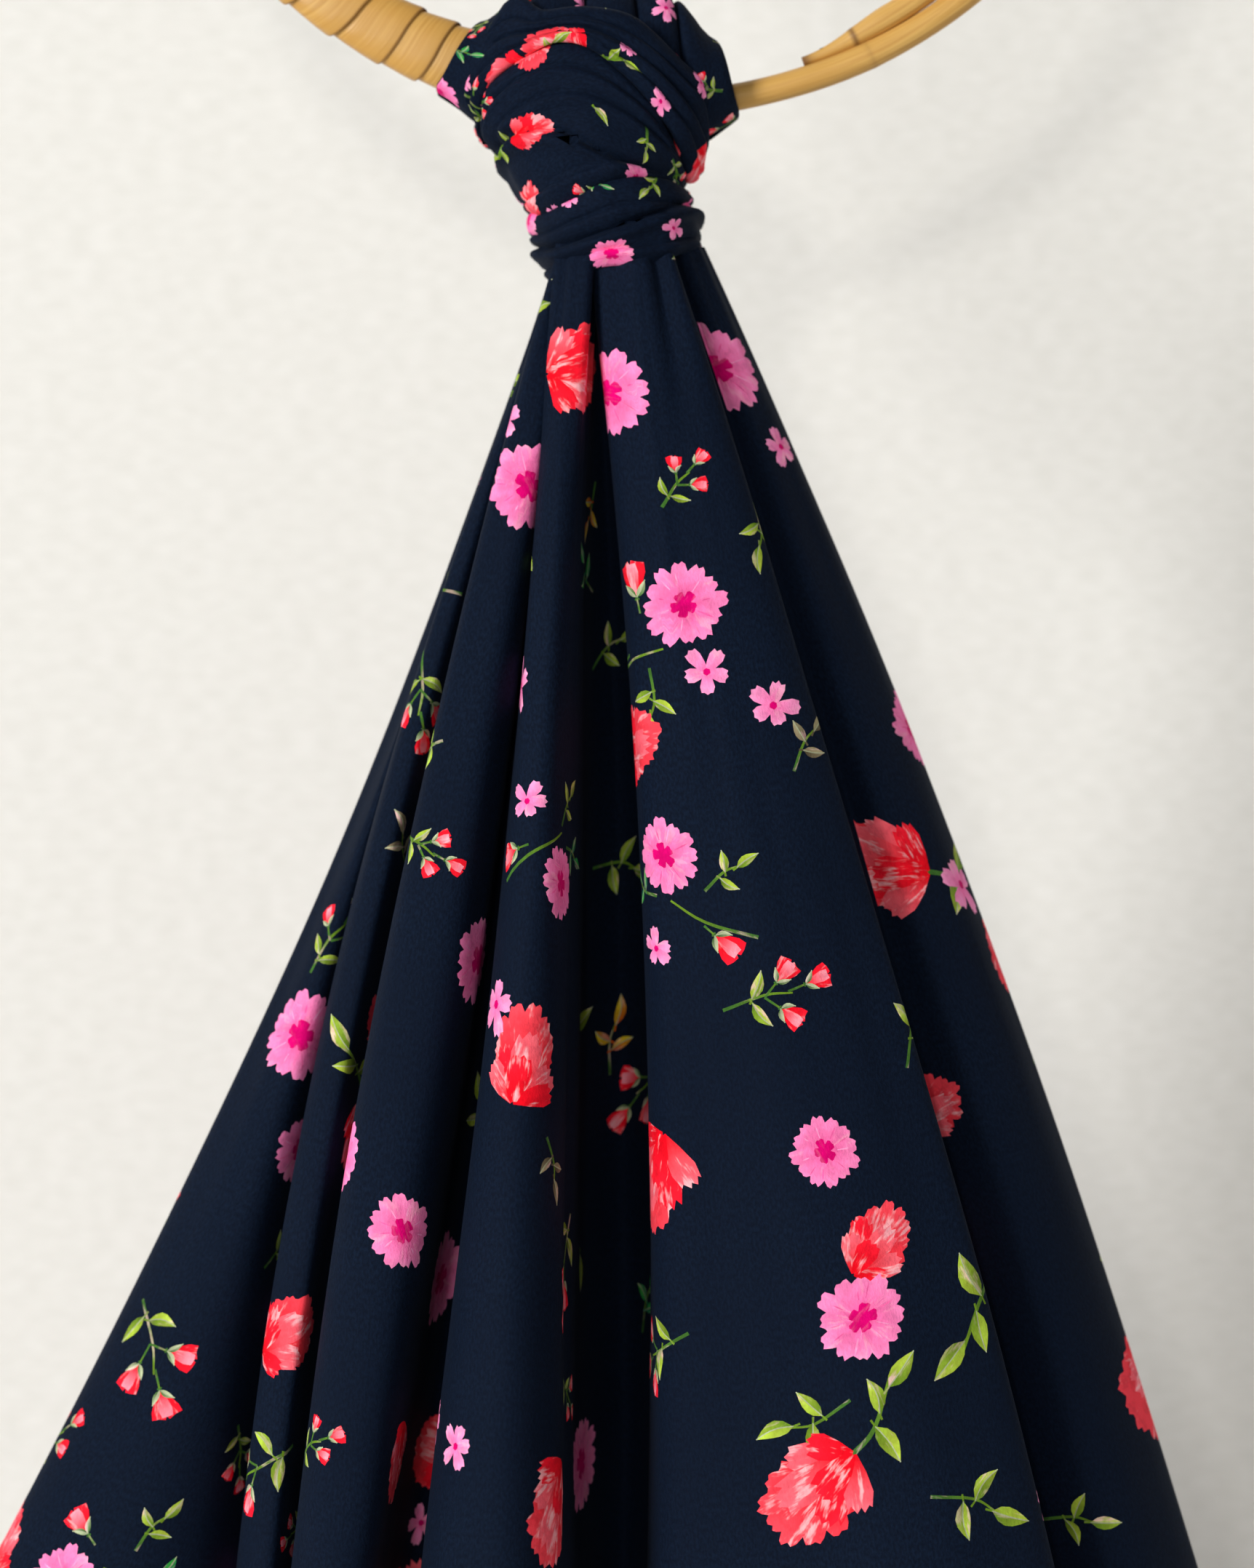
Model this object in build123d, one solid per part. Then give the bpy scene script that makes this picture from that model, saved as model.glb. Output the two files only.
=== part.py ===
from build123d import *

# A length of printed cloth knotted on a rattan hoop, the way a wrap-style baby carrier is hung up.
#
# Millimetres, +Z up, +X to the right and +Y to the back. The origin is the hanging point: the
# inside of the hoop's top, where it rests on its hook. The hoop lies in the XZ plane with its axis
# along Y. The cloth passes over the bottom of the hoop, turns twice round its own neck and falls in
# a pleated drape, and its short end hangs behind. It is one cloth, cut into sections where it bends:
# loop, knot, tail, neck, upper drape and lower drape. A "drop" is a depth below the rods.

import os
from math import cos, radians, sin

# ---- Driving dimensions ----
OUTER_ROD_RADIUS = 148.4  # hoop axis to the outer rod's centre line
OUTER_ROD_R = 3.8
INNER_ROD_RADIUS = 139.7
INNER_ROD_R = 3.5
INNER_ROD_SHIFT = 1.2  # the inner ring sits this far down and left, so the pair opens at upper right
SHIFT_ANGLE = -45.0  # hoop angles run from straight down, positive towards +X

SPLICE_ANGLE = 19.5  # where the inner rod's scarfed tip is nailed to the outer rod
SPLICE_SCARF = 20.0  # slope of the scarf from the rod's square end
INNER_ROD_SWEEP = 333.0  # from the splice over the top and down into the binding
BINDING_START = -9.0  # nearest the knot
BINDING_END = -82.0
BINDING_WALL = 1.0
BINDING_GAP = 0.15

BRAD_R = 0.6
BRAD_LENGTH = 11.0
BRAD_ANGLES = (21.0, 24.0, 27.0)

LOOP_SHIFT = -5.0  # the bunch sits a little to the left of the lowest point of the hoop
LOOP_HALF_LENGTH = 37.0
LOOP_UNDER_R = 20.0  # the loop's round underside, which the knot rocks on
LOOP_UNDER_HALF_LENGTH = 31.0
LOOP_HALF_HEIGHT = 28.0
LOOP_HALF_DEPTH = 17.5
PASSAGE_MARGIN = 1.6  # room round the bound rods inside the loop
PASSAGE_HALF_ANGLE = 30.0

KNOT_LIP = 5.0  # the knot's front and back lips rise this far above the rods
KNOT_DROP = 51.0  # the knot's lower rim
CORE_TOP_DROP = 8.0
TURN_JOINT_DROP = 27.0  # where the upper turn of cloth ends and the lower turn starts
TURN_WALL = 6.0
RUNNING_GAP = 0.8
CLOTH_GAP = 0.4

NECK_BALL_DROP = 58.5  # centre of the drape's side-to-side sway
NECK_BALL_R = 18.5
FLARE_DROP = 56.5  # the neck's flare starts here, clear of the knot's rim as it sways
SWING_DROP = 78.0  # where the drape swings to the front and back
SWING_FORWARD = 24.0
SWING_BACK = 5.0

BEND_DROP = 286.0  # where the lower drape lifts
BEND_FORWARD = 25.0
BEND_BACK = 12.0
BEND_Y = -10.0
BEND_CLEARANCE = 0.5
BEND_SPARE_ANGLE = 0.6

TAIL_TOP_DROP = 48.0
TAIL_LENGTH = 198.0
TAIL_THICKNESS = 4.0
TAIL_TOP_HALF_WIDTH = 15.0
TAIL_HEM_HALF_WIDTH = 46.0
TAIL_TOP_Y = 25.0
TAIL_HEM_Y = 46.0
TAIL_X = -3.0

HEM_DROP = 596.0
SHAPING_DROP = 408.0  # depth at which the fold widths below are stated
FLARE_EASE = 220.0  # below it the flare eases, and would be upright after this much more

# Fold lines of the drape, left to right round the front and then round the back:
# (x at the neck, y at the neck, x at the shaping depth, y at the shaping depth)
FOLDS = (
    (-23.5, -1.0, -172.0, -4.0),  # left edge
    (-20.5, -8.0, -138.0, -22.0),  # broad recessed panel
    (-18.0, -11.0, -107.0, -40.0),  # soft fold
    (-15.5, -12.5, -95.0, -30.0),
    (-13.0, -15.5, -82.0, -70.0),  # first deep fold
    (-10.0, -15.5, -64.0, -30.0),
    (-6.0, -18.5, -32.0, -82.0),  # round centre fold
    (-1.0, -16.5, 0.0, -24.0),  # deep valley
    (5.0, -19.5, 30.0, -60.0),  # wide flat panel
    (11.0, -18.0, 74.0, -66.0),
    (16.0, -13.5, 112.0, -54.0),  # its creased edge
    (18.5, -9.0, 130.0, -34.0),  # right panel
    (20.5, -1.0, 160.0, -6.0),  # right edge
    (15.0, 12.5, 110.0, 26.0),  # back
    (5.0, 18.0, 45.0, 30.0),
    (-8.0, 18.0, -45.0, 30.0),
    (-18.0, 12.5, -112.0, 26.0),
)

# The space inside the drape, at the neck and how much it grows down to the shaping depth
HOLLOW_TOP_DROP = 112.0
HOLLOW_NECK = (6.0, 3.0)  # half width, half depth
HOLLOW_GROWTH = (112.0, 13.0)
HOLLOW_CENTRE = (-6.0, 4.0)

# (drop, centre x, half width, half depth) of the knot
KNOT_SECTIONS = (
    (-KNOT_LIP, -8.0, 34.5, 27.0),
    (16.0, -8.0, 32.0, 27.0),
    (36.0, -4.5, 25.0, 23.5),
    (KNOT_DROP, -1.0, 21.8, 21.0),
)

# ---- Derived places ----
HOOP_Z = -(INNER_ROD_RADIUS - INNER_ROD_R - INNER_ROD_SHIFT * cos(radians(SHIFT_ANGLE)))
PAIR_RADIUS = (OUTER_ROD_RADIUS + OUTER_ROD_R + INNER_ROD_RADIUS - INNER_ROD_R) / 2
ROD_Z = HOOP_Z - PAIR_RADIUS  # the rods' centre at the bottom of the hoop
HOOP_CENTRE = Location((0, 0, HOOP_Z))
HUGE = 900.0


def on_hoop(angle, radius):
    """Point in the hoop's plane at an angle from straight down."""
    return Vector(radius * sin(radians(angle)), 0, HOOP_Z - radius * cos(radians(angle)))


def at_drop(drop, x=0.0, y=0.0):
    return Location((x, y, ROD_Z - drop))


def ring_arc(radius, tube, start, sweep):
    """Part of a torus about the hoop's axis, from one hoop angle through a sweep."""
    arc = Torus(radius, tube, major_angle=abs(sweep))
    first = start if sweep > 0 else start + sweep
    return HOOP_CENTRE * Rotation(0, 90 - first, 0) * Rotation(90, 0, 0) * arc


def ring_sleeve(inner, outer, half_depth, start, sweep):
    """A rounded-section ring segment about the hoop's axis, between two radii."""
    low, high = on_hoop(start, inner), on_hoop(start, outer)
    across = (high - low).normalized()
    plane = Plane(origin=(low + high) / 2, x_dir=across, z_dir=across.cross(Vector(0, 1, 0)))
    profile = plane * RectangleRounded(outer - inner, 2 * half_depth, half_depth * 0.98)
    turn = Axis((0, 0, HOOP_Z), (0, -1 if sweep > 0 else 1, 0))
    return revolve(profile, axis=turn, revolution_arc=abs(sweep))


def above(drop):
    """Everything above a drop."""
    return at_drop(drop - HUGE / 2) * Box(HUGE, HUGE, HUGE)


def rod_cylinder(radius, half_length, x=0.0):
    return at_drop(0, x) * Rotation(0, 90, 0) * Cylinder(radius, 2 * half_length)


def neck_ball(extra):
    return at_drop(NECK_BALL_DROP) * Sphere(NECK_BALL_R + extra)


# ---- Hoop ----
def outer_rod():
    return HOOP_CENTRE * Rotation(-90, 0, 0) * Torus(OUTER_ROD_RADIUS, OUTER_ROD_R)


def inner_rod():
    shift_x = INNER_ROD_SHIFT * sin(radians(SHIFT_ANGLE))
    shift_z = -INNER_ROD_SHIFT * cos(radians(SHIFT_ANGLE))
    ring = ring_arc(INNER_ROD_RADIUS, INNER_ROD_R, SPLICE_ANGLE, INNER_ROD_SWEEP)
    tip = on_hoop(SPLICE_ANGLE, INNER_ROD_RADIUS - INNER_ROD_R)
    scarf = Rotation(0, -SPLICE_ANGLE - SPLICE_SCARF, 0) * Location((-10, 0, 10)) * Box(20, 12, 20)
    return Location((shift_x, 0, shift_z)) * ring - Location(tip) * scarf


def brads():
    """Short nails through the inner rod's tip into the outer rod."""
    nails = []
    for angle in BRAD_ANGLES:
        middle = on_hoop(angle, (OUTER_ROD_RADIUS + INNER_ROD_RADIUS) / 2)
        nails.append(Location(middle) * Rotation(0, -angle, 0) * Cylinder(BRAD_R, BRAD_LENGTH))
    return nails


def binding():
    slack = INNER_ROD_SHIFT * cos(radians((BINDING_START - BINDING_END) / 2))
    inner = INNER_ROD_RADIUS - INNER_ROD_R + slack - BINDING_GAP
    outer = OUTER_ROD_RADIUS + OUTER_ROD_R + BINDING_GAP
    depth = OUTER_ROD_R + BINDING_GAP
    sweep = BINDING_END - BINDING_START
    skin = ring_sleeve(
        inner - BINDING_WALL, outer + BINDING_WALL, depth + BINDING_WALL, BINDING_START, sweep
    )
    return skin - ring_sleeve(inner, outer, depth, BINDING_START + 1, sweep - 2)


# ---- Loop and knot ----
def cloth_loop():
    """The bunch of cloth that passes over the hoop, with a passage for the bound rods."""
    size = (LOOP_HALF_LENGTH, LOOP_HALF_DEPTH, LOOP_HALF_HEIGHT)
    bunch = at_drop(-1, LOOP_SHIFT) * scale(Sphere(1), by=size)
    body = (bunch & above(2)) + rod_cylinder(LOOP_UNDER_R, LOOP_UNDER_HALF_LENGTH, LOOP_SHIFT)
    body -= at_drop(-LOOP_UNDER_R, LOOP_SHIFT) * Box(HUGE, HUGE, 2 * LOOP_UNDER_R) - bunch
    reach = BINDING_WALL + PASSAGE_MARGIN
    passage = ring_sleeve(
        INNER_ROD_RADIUS - INNER_ROD_R - reach,
        OUTER_ROD_RADIUS + OUTER_ROD_R + reach,
        OUTER_ROD_R + reach,
        -PASSAGE_HALF_ANGLE,
        2 * PASSAGE_HALF_ANGLE,
    )
    return body - passage


def knot_blank(inset):
    """Solid outline of the knot, drawn in by an inset."""
    sections = []
    for drop, centre_x, half_width, half_depth in KNOT_SECTIONS:
        sections.append(at_drop(drop, centre_x) * Ellipse(half_width - inset, half_depth - inset))
    return loft(sections)


def knot_parts():
    """The standing cloth inside, and the two turns of cloth round it."""
    seat_r = LOOP_UNDER_R + RUNNING_GAP
    rocker = rod_cylinder(seat_r, HUGE / 4)
    rocker += at_drop(-seat_r) * Box(HUGE / 2, 2 * seat_r, 2 * seat_r)
    free = rocker + neck_ball(RUNNING_GAP)
    core = knot_blank(TURN_WALL + CLOTH_GAP) - free - above(CORE_TOP_DROP)
    shell = knot_blank(0) - knot_blank(TURN_WALL) - free
    upper = shell & above(TURN_JOINT_DROP)
    lower = shell - above(TURN_JOINT_DROP + CLOTH_GAP)
    return core, upper, lower


def tail():
    """The cloth's short end, hanging flat behind the drape."""
    top = at_drop(TAIL_TOP_DROP, TAIL_X, TAIL_TOP_Y) * Rectangle(2 * TAIL_TOP_HALF_WIDTH, TAIL_THICKNESS)
    hem_place = at_drop(TAIL_TOP_DROP + TAIL_LENGTH, TAIL_X, TAIL_HEM_Y)
    hem = hem_place * Rectangle(2 * TAIL_HEM_HALF_WIDTH, TAIL_THICKNESS)
    return loft([top, hem], ruled=True)


# ---- Drape ----
def spread_at(drop):
    """Share of the way from the neck's widths to the stated fold widths, easing off near the hem."""
    slope = 1 / (SHAPING_DROP - KNOT_DROP)
    past = max(drop - SHAPING_DROP, 0.0)
    return slope * (drop - KNOT_DROP - past**2 / (2 * FLARE_EASE))


def pleated_outline(drop):
    spread = spread_at(drop)
    points = [(x0 + (x1 - x0) * spread, y0 + (y1 - y0) * spread) for x0, y0, x1, y1 in FOLDS]
    return at_drop(drop) * make_face(Spline(*points, periodic=True))


def hollow_outline(drop):
    spread = spread_at(drop)
    half_width, half_depth = (n + g * spread for n, g in zip(HOLLOW_NECK, HOLLOW_GROWTH))
    return at_drop(drop, *(c * spread for c in HOLLOW_CENTRE)) * Ellipse(half_width, half_depth)


def pleated_body(drops):
    return loft([pleated_outline(drop) for drop in drops], ruled=True)


def hollow_body(drops):
    return loft([hollow_outline(drop) for drop in drops], ruled=True)


def bend_room(drop, y, forward, back):
    """Two wedges below a bend line, so that what hangs from it can turn to the front and back."""
    size = HUGE
    line = at_drop(drop, 0, y)
    front = Rotation(forward + BEND_SPARE_ANGLE, 0, 0) * Location((0, -size / 2, size / 2))
    rear = Rotation(-back - BEND_SPARE_ANGLE, 0, 0) * Location((0, size / 2, size / 2))
    return line * (front * Box(size, size, size) + rear * Box(size, size, size))


def neck():
    """The gathered cloth that leaves the knot, rounded on top so that it can sway."""
    return pleated_body((FLARE_DROP, SWING_DROP - BEND_CLEARANCE)) + neck_ball(0)


def upper_drape():
    body = pleated_body((SWING_DROP + BEND_CLEARANCE, BEND_DROP - BEND_CLEARANCE))
    body -= hollow_body((HOLLOW_TOP_DROP, BEND_DROP))
    return body - bend_room(SWING_DROP + BEND_CLEARANCE, 0, SWING_FORWARD, SWING_BACK)


def lower_drape():
    step = (HEM_DROP - SHAPING_DROP) / 4
    eased = [SHAPING_DROP + step * i for i in range(5)]
    body = pleated_body((BEND_DROP + BEND_CLEARANCE, *eased))
    body -= hollow_body((BEND_DROP, SHAPING_DROP, HEM_DROP + 1))
    return body - bend_room(BEND_DROP + BEND_CLEARANCE, BEND_Y, BEND_FORWARD, BEND_BACK)


def main():
    os.makedirs("parts", exist_ok=True)
    nails = brads()
    outer, inner = outer_rod(), inner_rod()
    for nail in nails:
        outer -= nail
        inner -= nail
    core, turn_upper, turn_lower = knot_parts()
    parts = {
        "rod_outer": outer,
        "rod_inner": inner,
        "cane_binding": binding(),
        "splice_brads": Compound(children=nails),
        "cloth_loop": cloth_loop(),
        "knot_core": core,
        "knot_turn_upper": turn_upper,
        "knot_turn_lower": turn_lower,
        "cloth_tail": tail(),
        "cloth_neck": neck(),
        "drape_upper": upper_drape(),
        "drape_lower": lower_drape(),
    }
    for name, shape in parts.items():
        export_step(shape, f"parts/{name}.step")


main()
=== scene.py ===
"""Looks of a printed cloth knotted on a rattan hoop: the hoop, the knot, the pleated drape and its print.

Lengths are millimetres until a mesh is made. "Drop" is a depth below the hoop's rods, as in the CAD.
Cloth is made from sheets: a dense grid of places, each with flat cloth coordinates. Printed shapes are
cut into a sheet's mesh in those flat coordinates, so that a flower's edge is a real edge of faces.
"""

import math
import random

import bpy
import numpy as np
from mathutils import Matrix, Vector
from mathutils.geometry import delaunay_2d_cdt


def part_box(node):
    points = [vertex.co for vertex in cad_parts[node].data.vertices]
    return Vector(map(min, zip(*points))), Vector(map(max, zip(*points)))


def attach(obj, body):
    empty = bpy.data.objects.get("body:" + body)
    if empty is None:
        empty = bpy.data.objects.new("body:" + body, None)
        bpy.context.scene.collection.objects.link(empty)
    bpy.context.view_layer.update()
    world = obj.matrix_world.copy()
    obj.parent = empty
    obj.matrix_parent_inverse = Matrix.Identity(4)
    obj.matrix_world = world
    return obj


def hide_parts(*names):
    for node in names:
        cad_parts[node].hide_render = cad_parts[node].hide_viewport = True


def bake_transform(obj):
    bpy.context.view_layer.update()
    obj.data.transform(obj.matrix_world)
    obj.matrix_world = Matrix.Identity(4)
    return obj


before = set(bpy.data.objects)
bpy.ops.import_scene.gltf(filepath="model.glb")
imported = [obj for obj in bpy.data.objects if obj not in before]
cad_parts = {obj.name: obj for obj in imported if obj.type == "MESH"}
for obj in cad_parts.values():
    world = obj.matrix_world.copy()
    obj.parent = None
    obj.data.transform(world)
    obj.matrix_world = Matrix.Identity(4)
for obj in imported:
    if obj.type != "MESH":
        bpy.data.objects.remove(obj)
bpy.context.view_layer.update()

MM = 0.001
CLOTH_THICKNESS = 0.7


# ---------------------------------------------------------------- places from the frame
def box_mm(node):
    low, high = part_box(node)
    return np.array(low) / MM, np.array(high) / MM


RING_LOW, RING_HIGH = box_mm("rod_outer")
HOOP_Z = (RING_LOW[2] + RING_HIGH[2]) / 2
OUTER_TUBE = (RING_HIGH[1] - RING_LOW[1]) / 2
OUTER_RING = (RING_HIGH[2] - RING_LOW[2]) / 2 - OUTER_TUBE
INNER_LOW, INNER_HIGH = box_mm("rod_inner")
INNER_TUBE = (INNER_HIGH[1] - INNER_LOW[1]) / 2
INNER_RING = (INNER_HIGH[0] - INNER_LOW[0]) / 2 - INNER_TUBE
PAIR_RING = (OUTER_RING + OUTER_TUBE + INNER_RING - INNER_TUBE) / 2
ROD_Z = HOOP_Z - PAIR_RING
HEM_DROP = ROD_Z - box_mm("drape_lower")[0][2]
NECK_TOP_DROP = 44.0
NECK_DROP = 54.0
LOW_DROP = 408.0


# ---------------------------------------------------------------- small maths
def unit(vectors):
    return vectors / np.maximum(np.linalg.norm(vectors, axis=-1, keepdims=True), 1e-9)


def smooth(x):
    x = np.clip(x, 0.0, 1.0)
    return x * x * (3 - 2 * x)


def wave_noise(a, b, seed, scale_a, scale_b, count=9):
    """Smooth seeded noise of about -1 to 1: a sum of plane waves of unlike lengths and directions."""
    rng = random.Random(seed)
    total = np.zeros(np.broadcast(a, b).shape)
    for _ in range(count):
        fa = rng.uniform(0.4, 1.6) * 2 * math.pi / scale_a
        fb = rng.uniform(-1.3, 1.3) * 2 * math.pi / scale_b
        total += np.sin(a * fa + b * fb + rng.uniform(0, 2 * math.pi))
    return total / math.sqrt(count)


def spline_weights(knots, samples):
    """Matrix that turns control points at the knots into a smooth curve's points at the samples."""
    knots = np.asarray(knots, float)
    count = len(knots)
    span = np.clip(np.searchsorted(knots, samples, side="right") - 1, 0, count - 2)
    h = knots[span + 1] - knots[span]
    t = (samples - knots[span]) / h
    slope = np.zeros((count, count))
    for i in range(count):
        low, high = max(i - 1, 0), min(i + 1, count - 1)
        if low < i < high:
            before, after = knots[i] - knots[low], knots[high] - knots[i]
            slope[i, low] -= after / before / (before + after)
            slope[i, i] += (after - before) / (before * after)
            slope[i, high] += before / after / (before + after)
        else:
            slope[i, low] -= 1 / (knots[high] - knots[low])
            slope[i, high] += 1 / (knots[high] - knots[low])
    rows = np.arange(len(samples))
    weights = np.zeros((len(samples), count))
    np.add.at(weights, (rows, span), 2 * t**3 - 3 * t**2 + 1)
    np.add.at(weights, (rows, span + 1), -2 * t**3 + 3 * t**2)
    weights += ((t**3 - 2 * t**2 + t) * h)[:, None] * slope[span]
    weights += ((t**3 - t**2) * h)[:, None] * slope[span + 1]
    return weights


# ---------------------------------------------------------------- objects
def placed_object(name, data):
    """A new object in the scene."""
    piece = bpy.data.objects.new(name, data)
    bpy.context.scene.collection.objects.link(piece)
    return piece


def tube_faces(first, sides, rings):
    """Faces between stacked rings of vertices that start at first."""
    faces = []
    for i in range(rings - 1):
        for k in range(sides):
            a, b = first + i * sides + k, first + i * sides + (k + 1) % sides
            faces.append((a, b, b + sides, a + sides))
    return faces


def end_faces(first, sides, rings):
    """The two flat ends of such a tube."""
    last = first + (rings - 1) * sides
    return [tuple(range(first, first + sides))[::-1], tuple(range(last, last + sides))]


# ---------------------------------------------------------------- sheets of cloth
class Sheet:
    """A stretch of cloth: places on a dense grid, rows along the cloth and columns across it.

    flat_s runs across the cloth and flat_v along it, both in real millimetres of cloth, so a print laid
    out in them isn't stretched. The normals point out of the printed side.
    """

    def __init__(self, name, places, seam_cols=(), rows_every=6.0, cols_every=6.0, turn=15.0):
        self.name = name
        self.places = places
        self.seams = [0, *seam_cols, places.shape[1] - 1]
        self.rows_every, self.cols_every, self.turn = rows_every, cols_every, math.radians(turn)
        self.normals = self._normals()
        self.motifs = []
        self.cut_rows = ()
        self._flatten()

    def _normals(self):
        along = np.gradient(self.places, axis=0)
        across = np.gradient(self.places, axis=1)
        return unit(np.cross(along, across))

    def _flatten(self):
        steps = np.linalg.norm(np.diff(self.places, axis=1), axis=2)
        arc = np.concatenate([np.zeros((len(steps), 1)), np.cumsum(steps, axis=1)], axis=1)
        self.flat_s = []
        for left, right in zip(self.seams, self.seams[1:]):
            middle = (arc[:, left] + arc[:, right]) / 2
            self.flat_s.append(arc[:, left : right + 1] - middle[:, None])
        rises = np.linalg.norm(np.diff(self.places, axis=0), axis=2)
        rise = np.median(rises, axis=1)
        self.flat_v = np.concatenate([[0.0], np.cumsum(rise)])
        self.arc = arc

    def panel_of(self, col):
        return max(0, int(np.searchsorted(self.seams, col, side="right")) - 1)

    def mesh_cols(self, left, right):
        """Columns for the mesh: a new one after so much cloth or so much turning of its surface."""
        row = int(len(self.places) * 0.62)
        normal = self.normals[row]
        kept, last_arc, turned = [left], self.arc[row, left], 0.0
        for col in range(left + 1, right):
            turned += math.acos(float(np.clip(normal[col] @ normal[col - 1], -1, 1)))
            if self.arc[row, col] - last_arc > self.cols_every or turned > self.turn:
                kept.append(col)
                last_arc, turned = self.arc[row, col], 0.0
        kept.append(right)
        return kept

    def mesh_rows(self):
        count = max(2, int(round(self.flat_v[-1] / self.rows_every)) + 1)
        wanted = np.linspace(0, self.flat_v[-1], count)
        rows = {int(min(row, len(self.flat_v) - 1)) for row in np.searchsorted(self.flat_v, wanted - 1e-6)}
        return sorted(rows.union(self.cut_rows))

    def lay(self, motif, row, col, angle):
        """Lays a motif on the flat cloth at a grid place, turned by an angle and not stretched."""
        panel = min(self.panel_of(col), len(self.flat_s) - 1)
        c, s = math.cos(angle), math.sin(angle)
        line = self.flat_s[panel][row]
        at = np.array([line[min(col - self.seams[panel], len(line) - 1)], self.flat_v[row]])
        self.motifs.append((panel, [shape.placed(np.array([[c, -s], [s, c]]), at) for shape in motif]))


# ---------------------------------------------------------------- printed shapes
class Shape:
    """One painted shape of the print: an outline, and a colour that runs from base to tip."""

    def __init__(self, outline, base, tip, streak=0.0, origin=(0.0, 0.0), direction=(0.0, 1.0), length=10.0,
                 radial=False):
        self.outline = np.asarray(outline, float)
        self.base, self.tip, self.streak = np.array(base), np.array(tip), streak
        self.origin, self.direction = np.asarray(origin, float), unit(np.asarray(direction, float))
        self.length, self.radial = length, radial
        self.mark = Shape.counter = (Shape.counter * 29 + 7) % 1013

    counter = 1

    def placed(self, turn, at):
        other = Shape.__new__(Shape)
        other.__dict__ = dict(self.__dict__)
        other.outline = self.outline @ turn.T + at
        other.origin = turn @ self.origin + at
        other.direction = unit(turn @ self.direction)
        return other

    def turned(self, angle, shift=(0.0, 0.0), size=1.0):
        c, s = math.cos(angle) * size, math.sin(angle) * size
        other = self.placed(np.array([[c, -s], [s, c]]), np.asarray(shift, float))
        other.length = self.length * size
        return other

    def paint(self, points):
        """Colour and stroke coordinates at flat cloth points."""
        away = points - self.origin
        along = away @ self.direction
        across = away @ np.array([-self.direction[1], self.direction[0]])
        if self.radial:
            along, across = np.linalg.norm(away, axis=1), np.arctan2(across, along) * self.length * 0.55
        mix = smooth(along / self.length)[:, None]
        colour = self.base * (1 - mix) + self.tip * mix
        tint = np.concatenate([colour, np.full((len(points), 1), self.streak)], axis=1)
        stroke = np.stack([across, along, np.full(len(points), float(self.mark))], axis=1)
        return tint, stroke


def rgb(red, green, blue):
    """Linear colour of a display colour."""
    c = np.array([red, green, blue]) / 255.0
    return np.where(c <= 0.04045, c / 12.92, ((c + 0.055) / 1.055) ** 2.4)


CORAL, CRIMSON, ROSE = rgb(250, 28, 50), rgb(232, 6, 28), rgb(255, 156, 172)
PINK, PALE_PINK = rgb(252, 122, 184), rgb(254, 158, 206)
HOT_PINK, MAGENTA = rgb(246, 98, 165), rgb(216, 0, 110)
OLIVE, LIME, MOSS, SAGE = rgb(104, 140, 34), rgb(184, 212, 70), rgb(60, 106, 42), rgb(200, 212, 170)
TEAL, SPRING, YELLOW, ORANGE = rgb(30, 130, 88), rgb(60, 176, 66), rgb(232, 214, 44), rgb(214, 92, 22)
DRIED, STRAW = rgb(92, 84, 62), rgb(176, 166, 126)


def petal(rng, length, width, notches, base, tip, streak, blunt=0.66):
    """A petal that points along +Y, widest past its middle, with a notched end."""
    left = [(-width * 0.13, 0.0), (-width * 0.36, length * 0.32), (-width * 0.5, length * blunt)]
    end = []
    for i in range(notches * 2 + 1):
        x = -width * 0.42 + width * 0.84 * i / (notches * 2)
        arch = math.cos(x / width * math.pi * 0.9) ** 0.7
        dip = 0.0 if i % 2 == 0 else rng.uniform(0.05, 0.13)
        end.append((x + rng.uniform(-0.03, 0.03) * width, length * (0.83 + 0.17 * arch - dip)))
    right = [(width * 0.5, length * blunt), (width * 0.36, length * 0.32), (width * 0.13, 0.0)]
    return Shape(left + end + right, base, tip, streak, length=length)


def sliver(angle, near, far, width, colour):
    """A thin painted line pointing away from the origin at an angle from +Y."""
    side = [(-0.3, 0.0), (-0.5, 0.6), (0.0, 1.0), (0.5, 0.55), (0.2, 0.0)]
    outline = [(x * width, near + y * (far - near)) for x, y in side]
    return Shape(outline, colour, colour, 0.2, length=far).turned(angle)


def leaf(rng, length, width, base=OLIVE, tip=LIME):
    """A pointed leaf along +Y in two halves, one lighter, and its vein."""
    count = 5
    shares = [i / count for i in range(count + 1)]
    side = [(width * 0.5 * math.sin(math.pi * share**0.8), length * share) for share in shares]
    bend = rng.uniform(-0.12, 0.12) * length

    def curve(x, y):
        return (x + bend * math.sin(math.pi * y / length), y)

    left = [curve(-x, y) for x, y in side]
    right = [curve(x, y) for x, y in side]
    vein = [curve(0, y) for _, y in side]
    dark, light = base * rng.uniform(0.7, 1.0), tip * rng.uniform(0.85, 1.1)
    whole = left + right[-2:0:-1]
    half = vein + right[-2:0:-1]
    thread = [(x - 0.16, y) for x, y in vein] + [(x + 0.16, y) for x, y in vein[::-1]]
    stalk = [(-0.3, -length * 0.18), (0.3, -length * 0.18), (0.22, 0.6), (-0.22, 0.6)]
    return [
        Shape(stalk, base, base, 0.2, length=length),
        Shape(whole, dark, (dark + light) / 2, 0.35, length=length),
        Shape(half, (dark + light) / 2, light, 0.75, length=length),
        Shape(thread, SAGE * 0.6, SAGE * 0.8, 0.0, length=length),
    ]


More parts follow.
